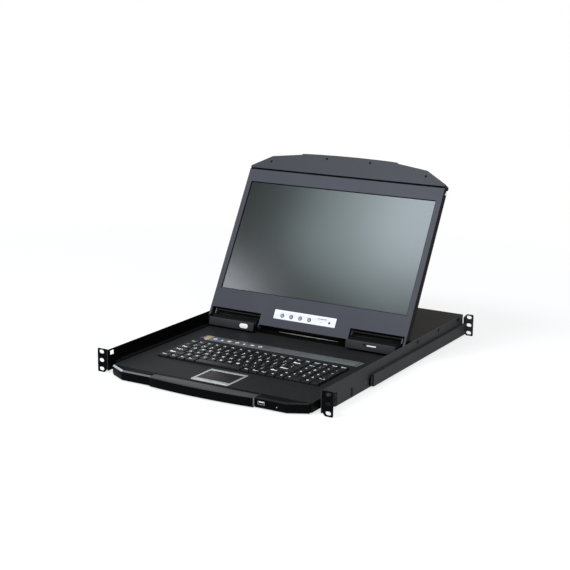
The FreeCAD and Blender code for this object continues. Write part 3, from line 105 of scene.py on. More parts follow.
class Material:
    """A Principled material whose colour, roughness and bump come from procedural grain."""

    def __init__(self, name, roughness, specular=0.5, metallic=0.0):
        self.data = bpy.data.materials.new(name)
        self.data.use_nodes = True
        self.tree = self.data.node_tree
        self.shader = self.tree.nodes["Principled BSDF"]
        set_inputs(self.shader, {"Roughness": roughness, "Specular IOR Level": specular,
                                 "Metallic": metallic})
        self.place = self.node("TexCoord").outputs["Object"]

    def node(self, kind, values=None, **settings):
        return new_node(self.tree, kind, values, **settings)

    def link(self, start, end):
        self.tree.links.new(start, end)

    def stretched(self, factors):
        """Object coordinates scaled along each axis, for brushed or drawn surfaces."""
        mapping = self.node("Mapping", {"Scale": factors})
        self.link(self.place, mapping.inputs["Vector"])
        return mapping.outputs["Vector"]

    def noise(self, size_mm, detail=3.0, rough=0.55, place=None):
        texture = self.node("TexNoise", {"Scale": 1000 / size_mm, "Detail": detail, "Roughness": rough})
        self.link(place or self.place, texture.inputs["Vector"])
        return texture.outputs["Fac"]

    def ranged(self, value, low, high, from_low=0.3, from_high=0.7):
        span = self.node("MapRange", {"From Min": from_low, "From Max": from_high,
                                      "To Min": low, "To Max": high})
        self.link(value, span.inputs["Value"])
        return span.outputs["Result"]

    def mixed(self, factor, first, second):
        """Mix of two colours, each a tuple or another node's output."""
        mix = self.node("Mix", data_type="RGBA")
        self.link(factor, mix.inputs[0])
        for socket, value in ((mix.inputs[6], first), (mix.inputs[7], second)):
            if isinstance(value, tuple):
                socket.default_value = value
            else:
                self.link(value, socket)
        return mix.outputs[2]

    def finished(self, colour, grain, smoothest, roughest, depth_mm=0.0):
        """Links the colour and lets the grain drive the roughness and the bump."""
        self.link(colour, self.shader.inputs["Base Color"])
        self.link(self.ranged(grain, smoothest, roughest), self.shader.inputs["Roughness"])
        if depth_mm:
            bump = self.node("Bump", {"Strength": 1.0, "Distance": depth_mm * MM})
            self.link(grain, bump.inputs["Height"])
            self.link(bump.outputs["Normal"], self.shader.inputs["Normal"])
        return self


def grained(name, colour, roughness, specular, grain_mm, depth_mm, metallic=0.0, spread=0.12, patch_mm=60.0):
    """The common case: fine grain in the bump, slow patches in the colour and roughness."""
    material = Material(name, roughness, specular, metallic)
    patches = material.noise(patch_mm, 2.0)
    grain = material.noise(grain_mm)
    slow = material.mixed(material.ranged(patches, 0.0, 1.0), scaled(colour, 1 - spread),
                          scaled(colour, 1 + spread))
    fine = material.mixed(material.ranged(grain, 0.0, 0.35, 0.35, 0.75), slow, scaled(colour, 1 + 2 * spread))
    return material.finished(fine, grain, roughness - 0.05, roughness + 0.06, depth_mm)


def brushed(name, colour, roughness, axis):
    """Metal with fine lines drawn along one axis."""
    material = Material(name, roughness, metallic=1.0)
    factors = [1.0, 1.0, 1.0]
    factors[axis] = 0.04
    lines = material.noise(0.5, 4.0, 0.6, material.stretched(factors))
    cloud = material.noise(25.0, 2.0)
    tone = material.mixed(material.ranged(lines, 0.0, 1.0), scaled(colour, 0.86), scaled(colour, 1.1))
    clouded = material.mixed(material.ranged(cloud, 0.0, 0.3), tone, scaled(colour, 0.9))
    return material.finished(clouded, lines, roughness - 0.06, roughness + 0.08, 0.006)


# Name, colour, roughness, specular level, size and depth of the grain in mm.
POWDER = grained("powder_coat_black", srgb(43, 44, 45), 0.52, 0.072, 0.8, 0.03)
COVER = grained("powder_coat_cover", srgb(37, 36, 33), 0.62, 0.03, 0.8, 0.035)
# The ears' near-black, also painted on the chassis walls' inner faces as painted shade.
EAR_BLACK_AND_WALL_SHADE = grained("ear_coat_black_and_painted_wall_shade", srgb(5, 5, 6), 0.45, 0.024, 0.7, 0.02)
DECK = grained("deck_coat_black", srgb(26, 26, 27), 0.5, 0.036, 0.7, 0.025)
TRAY = grained("tray_coat_black", srgb(11, 11, 12), 0.55, 0.03, 0.8, 0.03)
FRONT = grained("front_moulding", srgb(6, 6, 7), 0.42, 0.018, 0.5, 0.012)
# Painted highlights: lighter tones on the top-edge bands of the front bars and handle and on the handle's right
# end, brightest on the left tip, dimmest on the right bar.
HANDLE_BAND_HIGHLIGHT = grained("handle_band_painted_highlight", srgb(46, 46, 48), 0.4, 0.12, 0.5, 0.01)
HANDLE_END_HIGHLIGHT = grained("handle_end_painted_highlight", srgb(104, 104, 106), 0.4, 0.3, 0.5, 0.01)
LEFT_BAND_HIGHLIGHT = grained("bar_band_left_painted_highlight", srgb(88, 88, 92), 0.36, 0.18, 0.5, 0.01)
LEFT_TIP_HIGHLIGHT = grained("bar_tip_left_painted_highlight", srgb(158, 159, 164), 0.34, 0.4, 0.5, 0.01)
RIGHT_BAND_HIGHLIGHT = grained("bar_band_right_painted_highlight", srgb(20, 20, 21), 0.42, 0.06, 0.5, 0.01)
# Painted shade on the LCD's sides and openings, the handle's ends, the back cover's sides and the bezel's right
# leg.
LCD_SIDE_SHADE = grained("lcd_side_painted_shade", srgb(5, 5, 6), 0.5, 0.036, 0.5, 0.01)
HINGE_FASCIA = grained("hinge_fascia", srgb(48, 48, 50), 0.42, 0.084, 0.5, 0.015)
# Hinge blocks: painted shade on the barrel and recess, painted highlight on the top lip, the fascia between.
HINGE_BARREL_SHADE = grained("hinge_barrel_painted_shade", srgb(8, 8, 9), 0.42, 0.036, 0.5, 0.015)
HINGE_LIP_HIGHLIGHT = grained("hinge_lip_painted_highlight", srgb(57, 57, 60), 0.36, 0.15, 0.5, 0.01)
# Zinc of the hinge arms, also painted on the bezel's left leg as a painted highlight.
ZINC_ARM_AND_LEG_HIGHLIGHT = grained("hinge_arm_zinc_and_leg_highlight", srgb(68, 70, 74), 0.36, 0.18, 0.8, 0.01, metallic=0.4)
# Black of the screen's border and the right hinge block's dot, also painted shade along the handle's foot and its
# groove.
BLACK_PRINT_AND_SHADE = grained("black_print_and_painted_shade", srgb(5, 5, 6), 0.6, 0.03, 0.6, 0.01)
SLIDE = grained("slide_black_zinc", srgb(18, 18, 19), 0.34, 0.09, 1.4, 0.008, metallic=0.25)
BEZEL = grained("bezel_moulding", srgb(52, 52, 59), 0.42, 0.12, 0.45, 0.006, spread=0.05)
GRIP = grained("lcd_handle_coat", srgb(40, 40, 44), 0.42, 0.144, 0.5, 0.008, spread=0.05)
BACK = grained("lcd_back_coat", srgb(26, 27, 29), 0.5, 0.12, 0.8, 0.03)
KEYCAP = grained("keycap_moulding", srgb(15, 15, 15), 0.36, 0.096, 0.35, 0.012)
WELL = grained("key_well", srgb(7, 7, 8), 0.6, 0.048, 0.8, 0.01)
LEGEND = grained("legend_ink", srgb(236, 238, 238), 0.5, 0.3, 0.3, 0.002, spread=0.04)
SILVER = grained("silver_paint", srgb(160, 161, 160), 0.34, 0.4, 0.25, 0.006, metallic=0.45, spread=0.06)
PAD = grained("touch_pad_film", srgb(20, 20, 20), 0.42, 0.072, 0.4, 0.012)
PLATE = grained("control_plate_film", srgb(216, 216, 224), 0.42, 0.3, 0.4, 0.004, spread=0.03)
BUTTON = grained("round_button", srgb(64, 66, 72), 0.4, 0.15, 0.3, 0.006)
BUTTON_FACE = grained("round_button_face", srgb(168, 170, 176), 0.4, 0.3, 0.3, 0.004, spread=0.04)
DARK_BUTTON = grained("dark_button", srgb(15, 16, 20), 0.36, 0.18, 0.3, 0.006)
FAINT_PRINT = grained("faint_print", srgb(150, 150, 158), 0.5, 0.3, 0.3, 0.002, spread=0.05)
PRINT = grained("plate_print", srgb(42, 43, 49), 0.5, 0.18, 0.3, 0.002, spread=0.05)
RUBBER = grained("rubber_black", srgb(13, 13, 14), 0.75, 0.09, 0.6, 0.03)
# White of the hinge blocks' pad and bar, also a painted highlight along the crossbar's edge.
PALE_MARK_AND_HIGHLIGHT = grained("pale_mark_and_painted_highlight", srgb(232, 233, 230), 0.3, 0.5, 0.4, 0.004, spread=0.03)
BOARD = grained("solder_mask", srgb(20, 75, 44), 0.34, 0.3, 3.0, 0.02, spread=0.14, patch_mm=14.0)
PORT = grained("port_moulding", srgb(17, 17, 18), 0.4, 0.15, 0.4, 0.01)
ZINC = brushed("zinc_steel", srgb(176, 178, 180), 0.3, 0)
TIN = brushed("tin_shell", srgb(186, 188, 190), 0.24, 1)
LATCH = grained("latch_plated", srgb(240, 241, 243), 0.3, 0.5, 0.4, 0.004, metallic=0.3, spread=0.03)
BRASS = brushed("gold_contact", srgb(214, 178, 96), 0.22, 1)
BLACK_SCREW = grained("black_screw", srgb(6, 6, 6), 0.4, 0.06, 0.5, 0.006, metallic=0.2)
RIVET = grained("painted_rivet", srgb(64, 65, 66), 0.35, 0.24, 0.5, 0.006, metallic=0.4)


def screen_material():
    """Anti-glare film over a dark cell: a tight sparkle in the bump and a faint green-grey body."""
    material = Material("screen_film", 0.18, 0.2)
    sparkle = material.noise(0.22, 2.0)
    drift = material.noise(170.0, 1.0)
    body = material.mixed(material.ranged(drift, 0.0, 1.0), srgb(5, 12, 10), srgb(7, 12, 12))
    glint = material.mixed(material.ranged(sparkle, 0.0, 0.25), body, srgb(15, 21, 20))
    return material.finished(glint, sparkle, 0.165, 0.195, 0.0015)


def strip_material(left_x, right_x):
    """Grey printed strip: a blue block and an orange lead-in at its left end, plain towards the right."""
    material = Material("status_strip_print", 0.42, 0.4)
    separate = material.node("SeparateXYZ")
    material.link(material.place, separate.inputs["Vector"])
    across = material.ranged(separate.outputs["X"], 0.0, 1.0, left_x, right_x)
    ramp = material.node("ValToRGB")
    material.link(across, ramp.inputs["Fac"])
    stops = [(0.0, srgb(26, 36, 92)), (0.01, srgb(60, 72, 120)), (0.016, srgb(150, 128, 98)),
             (0.046, srgb(156, 130, 96)), (0.056, srgb(58, 68, 82)), (0.12, srgb(60, 66, 74)),
             (0.17, srgb(62, 62, 64)), (0.62, srgb(60, 61, 62)), (1.0, srgb(78, 82, 80))]
    elements = ramp.color_ramp.elements
    elements[0].position, elements[0].color = stops[0]
    elements[1].position, elements[1].color = stops[-1]
    for position, colour in stops[1:-1]:
        elements.new(position).color = colour
    grain = material.noise(0.5)
    print_tone = material.mixed(material.ranged(grain, 0.0, 0.2), ramp.outputs["Color"], srgb(92, 94, 94))
    return material.finished(print_tone, grain, 0.36, 0.48, 0.008)


def lens_material(name, colour):
    """Small clear lamp lens over a coloured diffuser."""
    material = Material(name, 0.18, 0.6)
    set_inputs(material.shader, {"Coat Weight": 0.6, "Coat Roughness": 0.08, "Transmission Weight": 0.25})
    haze = material.noise(0.8, 2.0)
    tone = material.mixed(haze, scaled(colour, 0.8), scaled(colour, 1.15))
    return material.finished(tone, haze, 0.14, 0.24)


SCREEN = screen_material()
strip_low, strip_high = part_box("status_strip")
STRIP = strip_material(strip_low.x, strip_high.x)


# ---- reading CAD nodes
def corners(points):
    """Low and high corner of some points."""
    return [Vector([extreme(point[i] for point in points) for i in range(3)]) for extreme in (min, max)]


def welded(node):
    """A CAD node's mesh as a bmesh with its doubled vertices joined."""
    work = bmesh.new()
    work.from_mesh(frame["nodes"][node].data)
    bmesh.ops.remove_doubles(work, verts=work.verts, dist=2e-6)
    return work


def islands(node):
    """Points of each loose part of a CAD node."""
    work = welded(node)
    seen = set()
    found = []
    for start in work.verts:
        if start in seen:
            continue
        seen.add(start)
        group = [start]
        for vertex in group:
            fresh = [edge.other_vert(vertex) for edge in vertex.link_edges]
            fresh = [other for other in fresh if other not in seen]
            seen.update(fresh)
            group.extend(fresh)
        found.append([vertex.co.copy() for vertex in group])
    work.free()
    return found


# ---- making pieces: above these angles, in degrees, an edge is shaded sharp or broken
ROUND_ANGLE = 32.0
BUTTON_ANGLE = 35.0
KEY_ANGLE = 40.0
FACET_ANGLE = 5.0
BROKEN_ANGLE = 28.0


def add_object(name, mesh, node, materials, stands_in=False):
    """Links a mesh as a piece that rides with a CAD node's body and may stand for the node."""
    piece = bpy.data.objects.new(name, mesh)
    bpy.context.scene.collection.objects.link(piece)
    for material in materials:
        mesh.materials.append(material.data)
    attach(piece, BODY_OF[node])
    if stands_in:
        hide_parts(node)
    return piece


def mesh_of(name, work):
    """Turns a bmesh into a mesh and frees it."""
    mesh = bpy.data.meshes.new(name)
    work.to_mesh(mesh)
    work.free()
    return mesh


def finish_shading(mesh, degrees):
    """Smooth faces with edges sharp above an angle; a face far larger than those it bends into stays flat."""
    limit = math.radians(degrees)
    work = bmesh.new()
    work.from_mesh(mesh)
    for face in work.faces:
        area = face.calc_area()
        bent = [other.calc_area() for edge in face.edges if 0.01 < edge.calc_face_angle(0.0) < limit
                for other in edge.link_faces if other is not face]
        face.smooth = area < 20.0 * MM * MM or max(bent, default=0.0) > 0.25 * area
    work.to_mesh(mesh)
    work.free()
    mesh.set_sharp_from_angle(angle=limit)


def add_joined(name, parts, node, materials, degrees=None, stands_in=False):
    """Joins (bmesh, material number) parts into one smooth piece; degrees makes edges above it sharp."""
    total = bmesh.new()
    for work, number in parts:
        work.verts.index_update()
        made = [total.verts.new(vertex.co) for vertex in work.verts]
        for face in work.faces:
            copy = total.faces.new([made[vertex.index] for vertex in face.verts])
            copy.material_index = number
            copy.smooth = True
        work.free()
    mesh = mesh_of(name, total)
    if degrees:
        finish_shading(mesh, degrees)
    return add_object(name, mesh, node, materials, stands_in)


# The bands along the front's top edges are shallower than in the CAD: how far their lower edge goes up, mm.
BAND_LIFT_MM = {"front_bar_left": 1.7, "front_bar_right": 1.7, "front_handle": 5.0}
HANDLE_BAND_BACK = -12.0 * MM
FACETED = ("lcd_bezel", "lcd_handle", "lcd_back_cover", "chassis_pan", "top_cover", "rear_panel",
           "keyboard_deck", "keyboard_tray", "front_ear_left", "front_ear_right", "rear_rail_left",
           "rear_rail_right")


def raise_band(work, lift_mm):
    """Moves the lower edge of the sloping band along a front's top edge up."""
    top = max(vertex.co.z for vertex in work.verts)
    band = {vertex for face in work.faces if 0.5 < face.normal.z < 0.9 and face.normal.y < -0.1
            for vertex in face.verts}
    for vertex in band:
        if vertex.co.z <= top - 0.1 * MM:
            vertex.co.z += lift_mm * MM


def break_edges(work, width_mm):
    """Rounds every edge whose faces meet at more than the broken angle."""
    limit = math.radians(BROKEN_ANGLE)
    edges = [e for e in work.edges if len(e.link_faces) == 2 and e.calc_face_angle(0.0) > limit]
    bmesh.ops.bevel(work, geom=edges, offset=width_mm * MM, offset_type="OFFSET", segments=2, profile=0.5,
                    affect="EDGES", clamp_overlap=True)


def dressed(node, material, edge_mm):
    """Stands for a CAD node with the same form and broken edges."""
    work = welded(node)
    bmesh.ops.dissolve_limit(work, angle_limit=math.radians(0.8), verts=work.verts, edges=work.edges)
    if node in BAND_LIFT_MM:
        raise_band(work, BAND_LIFT_MM[node])
    if node == "front_handle":
        bmesh.ops.bisect_plane(work, geom=work.verts[:] + work.edges[:] + work.faces[:], dist=1e-6,
                               plane_co=(0.0, HANDLE_BAND_BACK, 0.0), plane_no=(0.0, 1.0, 0.0))
    if edge_mm:
        break_edges(work, edge_mm)
    mesh = mesh_of(node + "_dressed", work)
    finish_shading(mesh, FACET_ANGLE if node in FACETED else ROUND_ANGLE)
    add_object(node + "_dressed", mesh, node, [material], True)


# ---- forms
CORNER_STEPS = 4
PILL_STEPS = 12
ROUND_STEPS = 16


def arc(x, y, z, radius, start, sweep, steps):
    """Points along an arc round (x, y), both ends among them; start and sweep are in degrees."""
    turns = [math.radians(start + sweep * step / steps) for step in range(steps + 1)]
    return [Vector((x + radius * math.cos(turn), y + radius * math.sin(turn), z)) for turn in turns]


def circle(radius, z, steps):
    return arc(0.0, 0.0, z, radius, 0, 360, steps)[:-1]


def rounded_loop(low, high, inset, radius, z=0.0):
    """A rounded rectangle inset from two corners, anticlockwise from above."""
    reach = inset + radius
    left, right = low[0] + reach, high[0] - reach
    near, far = low[1] + reach, high[1] - reach
    return [point for x, y, start in ((right, far, 0), (left, far, 90), (left, near, 180), (right, near, 270))
            for point in arc(x, y, z, radius, start, 90, CORNER_STEPS)]


def skinned(loops):
    """Closed bmesh over a stack of loops, with a face on its first loop and one on its last."""
    work = bmesh.new()
    rings = [[work.verts.new(point) for point in loop] for loop in loops]
    work.faces.new(rings[0][::-1])
    for lower, upper in zip(rings, rings[1:]):
        for i in range(len(lower)):
            work.faces.new([lower[i - 1], lower[i], upper[i], upper[i - 1]])
    work.faces.new(rings[-1])
    return work


def lathe(profile, steps=24):
    """Solid of revolution about Z from (radius, height) pairs, bottom to top."""
    return skinned([circle(radius, height, steps) for radius, height in profile])


def pill(length, width, height):
    """Low domed pad with round ends, drawn flat and centred, its base at zero."""
    straight = (length - width) / 2
    loops = []
    for share, rise in ((1.0, 0.0), (1.0, 0.55), (0.9, 0.85), (0.7, 1.0)):
        ends = [arc(x, 0.0, rise * height, share * width / 2, start, 180, PILL_STEPS)
                for x, start in ((straight, -90), (-straight, 90))]
        loops.append(ends[0] + ends[1])
    return skinned(loops)


def box_piece(low, high):
    work = bmesh.new()
    bmesh.ops.create_cube(work, size=1.0)
    for vertex in work.verts:
        vertex.co = [high[i] if vertex.co[i] > 0 else low[i] for i in range(3)]
    return work


def turned(work, outward, origin):
    """Turns a bmesh so that its Z points along outward, and moves it to origin."""
    rotation = Vector((0, 0, 1)).rotation_difference(Vector(outward)).to_matrix()
    for vertex in work.verts:
        vertex.co = rotation @ vertex.co + origin
    return work


# ---- flat shapes: (points, faces) with (x, y) points, laid a little over their ground
PRINT_LIFT = 0.04 * MM
LINE_LIFT = 0.05 * MM


@functools.lru_cache(maxsize=None)
def glyph(text, size_mm, weight_mm=0.12):
    """Outline of a short text, its lower left corner at the origin."""
    curve = bpy.data.curves.new("glyph", "FONT")
    curve.body = text
    curve.size = size_mm * MM
    curve.resolution_u = 2
    curve.offset = weight_mm * MM
    holder = bpy.data.objects.new("glyph", curve)
    bpy.context.scene.collection.objects.link(holder)
    mesh = bpy.data.meshes.new_from_object(holder.evaluated_get(bpy.context.evaluated_depsgraph_get()))
    low = corners([vertex.co for vertex in mesh.vertices])[0]
    shape = ([(vertex.co.x - low.x, vertex.co.y - low.y) for vertex in mesh.vertices],
             [tuple(polygon.vertices) for polygon in mesh.polygons])
    bpy.data.objects.remove(holder)
    bpy.data.curves.remove(curve)
    bpy.data.meshes.remove(mesh)
    return shape


def arrow(direction, size_mm):
    """A small solid arrow head."""
    heads = {"left": [(0, 0.5), (0.9, 0), (0.9, 1)], "right": [(0.9, 0.5), (0, 1), (0, 0)],
             "up": [(0.5, 0.9), (0, 0), (1, 0)], "down": [(0.5, 0), (1, 0.9), (0, 0.9)]}
    return [(x * size_mm * MM, y * size_mm * MM) for x, y in heads[direction]], [(0, 1, 2)]


def bar(x, y, width, height):
    return [(x, y), (x + width, y), (x + width, y + height), (x, y + height)], [(0, 1, 2, 3)]


def round_outline(radius):
    return [(point.x, point.y) for point in circle(radius, 0.0, ROUND_STEPS)]


def flat_ring(outer, inner):
    """The flat ring between two closed outlines that have as many points."""
    count = len(outer)
    return outer + inner, [((i - 1) % count, i, count + i, count + (i - 1) % count) for i in range(count)]


def moved(shape, x, y):
    return [(px + x, py + y) for px, py in shape[0]], shape[1]


def draw_shape(work, shape, place):
    """Adds a flat shape to a bmesh; place(x, y) gives the row-frame point."""
    made = [work.verts.new(place(x, y)) for x, y in shape[0]]
    for face in shape[1]:
        work.faces.new([made[i] for i in face])


def flat_marks(name, shapes, node, material, place):
    """Thin flat shapes that ride with a CAD node: print, and marks of painted highlight and shade."""
    work = bmesh.new()
    for shape in shapes:
        draw_shape(work, shape, place)
    add_object(name, mesh_of(name, work), node, [material])


# ---- keys
DISH = 0.45 * MM
KEY_TOP_MARGIN = 1.3 * MM
INK_LIFT = 0.06 * MM
WIDE_KEY = 22 * MM
WIDE_STEM = 10 * MM


def dish_drop(x, y, low, high):
    """How far the finger scoop lies under the rim of a key top."""
    half_x = (high.x - low.x) / 2 - KEY_TOP_MARGIN
    half_y = (high.y - low.y) / 2 - KEY_TOP_MARGIN
    u = min(1.0, abs(x - (low.x + high.x) / 2) / half_x)
    v = min(1.0, abs(y - (low.y + high.y) / 2) / half_y)
    return DISH * (1 - u ** 2) * (1 - 0.6 * v ** 2)


def keycap(low, high):
    """A cap with sloping sides, a rolled rim and a scooped top."""
    top = high.z
    levels = [(0.0, low.z, 0.9), (0.35, low.z + 0.45 * (top - low.z), 1.1), (0.72, top - 0.7 * MM, 1.4),
              (0.88, top - 0.28 * MM, 1.6), (1.15, top - 0.05 * MM, 1.7), (1.45, top, 1.7)]
    loops = [rounded_loop(low, high, inset * KEY_TOP_MARGIN, radius_mm * MM, z)
             for inset, z, radius_mm in levels]
    rim = loops[-1]
    middle = (low + high) / 2
    for shrink in (0.75, 0.45, 0.18):
        inner = [middle.lerp(point, shrink) for point in rim]
        loops.append([Vector((p.x, p.y, top - dish_drop(p.x, p.y, low, high))) for p in inner])
    return skinned(loops)


# Legends from left to right, with a space between keys.  After a line break comes the character below,
# and arrow_ stands for a drawn arrow head.
ROW_LEGENDS = {
    "keys_function_row": "Esc F1 F2 F3 F4 F5 F6 F7 F8 F9 F10 F11 F12 Ins Del Home End PgUp PgDn",
    "keys_number_row": "~\n` !\n1 @\n2 #\n3 $\n4 %\n5 ^\n6 &\n7 *\n8 (\n9 )\n0 _\n- +\n= Back Num / * -",
    "keys_upper_row": "Tab Q W E R T Y U I O P {\n[ }\n] |\n\\ 7 8 9 +",
    "keys_home_row": "Caps A S D F G H J K L :\n; \"\n' Enter 4 5 6",
    "keys_lower_row": "Shift Z X C V B N M <\n, >\n. ?\n/ Shift arrow_up 1 2 3 Enter",
    "keys_bottom_row": "Ctrl Fn Sys Alt Alt Menu Ctrl arrow_left arrow_down arrow_right 0 .",
    "space_bar": "",
}


def draw_legend(marks, text, low, high):
    """Adds one key's characters to the row's ink, just over the scooped top."""
    left = low.x + 1.5 * KEY_TOP_MARGIN + 3.6 * MM
    top = high.y - 1.5 * KEY_TOP_MARGIN - 2.4 * MM
    lines = text.split("\n")
    if text.startswith("arrow_"):
        placed = [(arrow(text[6:], 4.6), 0.0, 5.0)]
    elif len(lines) == 2:
        placed = [(glyph(lines[0], 5.2), 0.0, 4.0), (glyph(lines[1], 5.6), 0.0, 10.2)]
    elif len(text) == 1:
        placed = [(glyph(text, 7.6), 0.0, 5.6)]
    elif high.x - low.x > WIDE_KEY:
        placed = [(glyph(text, 7.2, 0.3), 0.0, 4.6)]
    else:
        placed = [(glyph(text, 4.8), 2.2, 4.6)]
    for shape, left_mm, down_mm in placed:
        draw_shape(marks, moved(shape, left - left_mm * MM, top - down_mm * MM),
                   lambda x, y: (x, y, high.z - dish_drop(x, y, low, high) + INK_LIFT))


def key_row(node, legends):
    """Caps, stems and legends of one row; each island of the CAD node is a key."""
    parts = []
    marks = bmesh.new()
    keys = sorted(islands(node), key=lambda group: sum(corner.x for corner in corners(group)))
    for group, text in zip(keys, legends.split(" ")):
        low, high = corners(group)
        base_z = sorted({round(point.z, 6) for point in group})[1]
        cap_low = corners([point for point in group if point.z >= base_z - 1e-6])[0]
        cap_low.z = base_z
        parts.append((keycap(cap_low, high), 0))
        stem = [point for point in group if point.z < base_z - 1e-6]
        middle = (low.x + high.x) / 2
        wide = max(abs(point.x - middle) for point in stem) > WIDE_STEM
        halves = [[point for point in stem if (point.x - middle) * side > 0] for side in (-1, 1)]
        for points in halves if wide else [stem]:
            stem_low, stem_high = corners(points)
            stem_high.z = base_z
            parts.append((box_piece(stem_low, stem_high), 0))
        if text:
            draw_legend(marks, text, cap_low, high)
    add_joined(node + "_caps", parts, node, [KEYCAP], KEY_ANGLE, True)
    if len(marks.verts):
        add_object(node + "_legends", mesh_of(node + "_legends", marks), node, [LEGEND])


for row, legends in ROW_LEGENDS.items():
    key_row(row, legends)


# ---- places along the leaning LCD: x sideways, y up from the hinge axis, z out of the front
HINGE = Vector(next(joint for joint in frame["joints"] if joint["name"] == "lcd_tilt")["pos_m"])
panel_faces = frame["nodes"]["lcd_panel"].data.polygons
OUTWARD = max(panel_faces, key=lambda face: face.area if face.normal.y < 0 else 0.0).normal.normalized()
UPWARD = OUTWARD.cross(Vector((1.0, 0.0, 0.0)))


def on_screen(x, up, out):
    """Row-frame point of LCD coordinates."""
    return Vector((x, HINGE.y, HINGE.z)) + UPWARD * up + OUTWARD * out


def in_lcd(point):
    """LCD coordinates of a row-frame point."""
    return point.x, (point - HINGE).dot(UPWARD), (point - HINGE).dot(OUTWARD)


def lcd_box(node):
    """Box of a node in LCD coordinates."""
    return corners([in_lcd(vertex.co) for vertex in frame["nodes"][node].data.vertices])


LCD_TOP = lcd_box("lcd_bezel")[1].y


# ---- dressed metal and mouldings: node (* is left and right), material, slot, broken edges in mm
DRESSED = [
    ("chassis_pan", POWDER, COAT, 0.35), ("top_cover", COVER, COAT, 0.35), ("rear_panel", POWDER, COAT, 0.25),
    ("front_ear_*", EAR_BLACK_AND_WALL_SHADE, COAT, 0.35), ("slide_channel_*", SLIDE, COAT, 0.2),
    ("rail_guides", SLIDE, COAT, 0.3), ("rear_rail_*", POWDER, COAT, 0.3),
    ("keyboard_slide_left", SLIDE, COAT, 0.25), ("lcd_slide_left", SLIDE, COAT, 0.25),
    ("keyboard_slide_right", SLIDE, COAT, 0.25), ("lcd_slide_right", SLIDE, COAT, 0.25),
    ("keyboard_tray", TRAY, COAT, 0.3), ("keyboard_deck", DECK, COAT, 0.3),
    ("front_bar_*", FRONT, PLASTIC, 0.7), ("front_handle", FRONT, PLASTIC, 0.7),
    ("touchpad_frame", SILVER, "silver_plastic", 0.45), ("touchpad_surface", PAD, "dark_pad", 0.25),
    ("touchpad_button_*", SILVER, "silver_plastic", 0.35), ("hinge_crossbar", TRAY, COAT, 0.35),
    # The hinge blocks start in painted shade; block_tone repaints their fronts.
    ("hinge_block_*", HINGE_BARREL_SHADE, PLASTIC, 0.5), ("hinge_arms", ZINC_ARM_AND_LEG_HIGHLIGHT, COAT, 0.25),
    ("lcd_back_cover", BACK, COAT, 0.5), ("lcd_bezel", BEZEL, "bezel_plastic", 0.4),
    ("lcd_handle", GRIP, "bezel_plastic", 0.6), ("control_plate", PLATE, "white_plate", 0.15),
    ("latch_*", LATCH, METAL, 0.3), ("power_supply", ZINC, METAL, 0.3), ("power_switch", PORT, PLASTIC, 0.3),
    ("power_inlet", PORT, PLASTIC, 0.3), ("key_plate", WELL, PLASTIC, 0.0),
    ("main_board", BOARD, "circuit_board", 0.0), ("keyboard_board", BOARD, "circuit_board", 0.0),
    ("lcd_boards", BOARD, "circuit_board", 0.0), ("rear_ports", TIN, METAL, 0.15),
    ("lcd_panel", SCREEN, "screen", 0.0), ("status_strip", STRIP, "grey_strip", 0.3),
]
for name, material, slot, edge_mm in DRESSED:
    for node in sorted({name.replace("*", side) for side in ("left", "right")}):
        dressed(node, material, edge_mm)


def repainted(node, tones, choose):
    """Gives some faces of a dressed piece another tone: choose(polygon) returns 0 or a tone's number."""
    mesh = bpy.data.objects[node + "_dressed"].data
    for tone in tones:
        mesh.materials.append(tone.data)
    for polygon in mesh.polygons:
        polygon.material_index = int(choose(polygon))


TRAY_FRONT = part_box("keyboard_tray")[0].y
GRIP_FRONT = lcd_box("lcd_handle")[1].z
FASCIA_DEPTH = 6 * MM
LEG_HEIGHT = 22 * MM
LEG_INNER_X = 208 * MM


def on_inner_wall(polygon):
    """True where a face looks towards the middle of the chassis."""
    return polygon.normal.x * polygon.center.x < -0.5 * abs(polygon.center.x)


def on_front_edge(polygon):
    """True on the sloping band along a front bar's top edge."""
    return 0.25 < polygon.normal.z < 0.97 and polygon.center.y < TRAY_FRONT and polygon.normal.y < -0.1


def left_bar_tone(polygon):
    """Painted highlight on the left bar's band, brighter on its tapered tip."""
    if not on_front_edge(polygon):
        return 0
    return 2 if abs(polygon.normal.x) > 0.15 else 1


def handle_front_tone(polygon):
    """Painted highlight on the band along the top, brighter on the right-hand end."""
    if polygon.normal.z > 0.6 and polygon.center.y < HANDLE_BAND_BACK:
        return 1
    return 2 if polygon.normal.x > 0.8 else 0


def block_tone(front_y):
    """Fascia tone, painted highlight on the lip and painted shade on the barrel of a hinge block whose fascia
    starts at front_y.
    """
    def choose(polygon):
        if polygon.center.y > front_y + FASCIA_DEPTH:
            return 0
        return 2 if polygon.normal.z > 0.8 else polygon.normal.y < 0.3
    return choose


def bezel_tone(polygon):
    """Painted shade on the sides and openings; on the legs beside the hinge blocks a painted highlight in zinc on
    the left and painted shade on the right.
    """
    x, up = in_lcd(polygon.center)[:2]
    if up < LEG_HEIGHT and abs(x) > LEG_INNER_X:
        return 2 if x < 0 else 1
    return abs(polygon.normal.dot(OUTWARD)) < 0.5


def grip_tone(polygon):
    """Painted shade on the ends, and black painted shade along the handle's foot for its groove."""
    up, out = in_lcd(polygon.center)[1:]
    if abs(polygon.normal.x) > 0.8:
        return 1
    return 2 if up < LCD_TOP + 2.3 * MM and out < GRIP_FRONT - 0.6 * MM else 0


# Painted shade on the chassis walls' inner faces.
repainted("chassis_pan", [EAR_BLACK_AND_WALL_SHADE], on_inner_wall)
# Painted highlights on the top-edge bands of the front bars and handle.
repainted("front_bar_left", [LEFT_BAND_HIGHLIGHT, LEFT_TIP_HIGHLIGHT], left_bar_tone)
repainted("front_bar_right", [RIGHT_BAND_HIGHLIGHT], on_front_edge)
repainted("front_handle", [HANDLE_BAND_HIGHLIGHT, HANDLE_END_HIGHLIGHT], handle_front_tone)
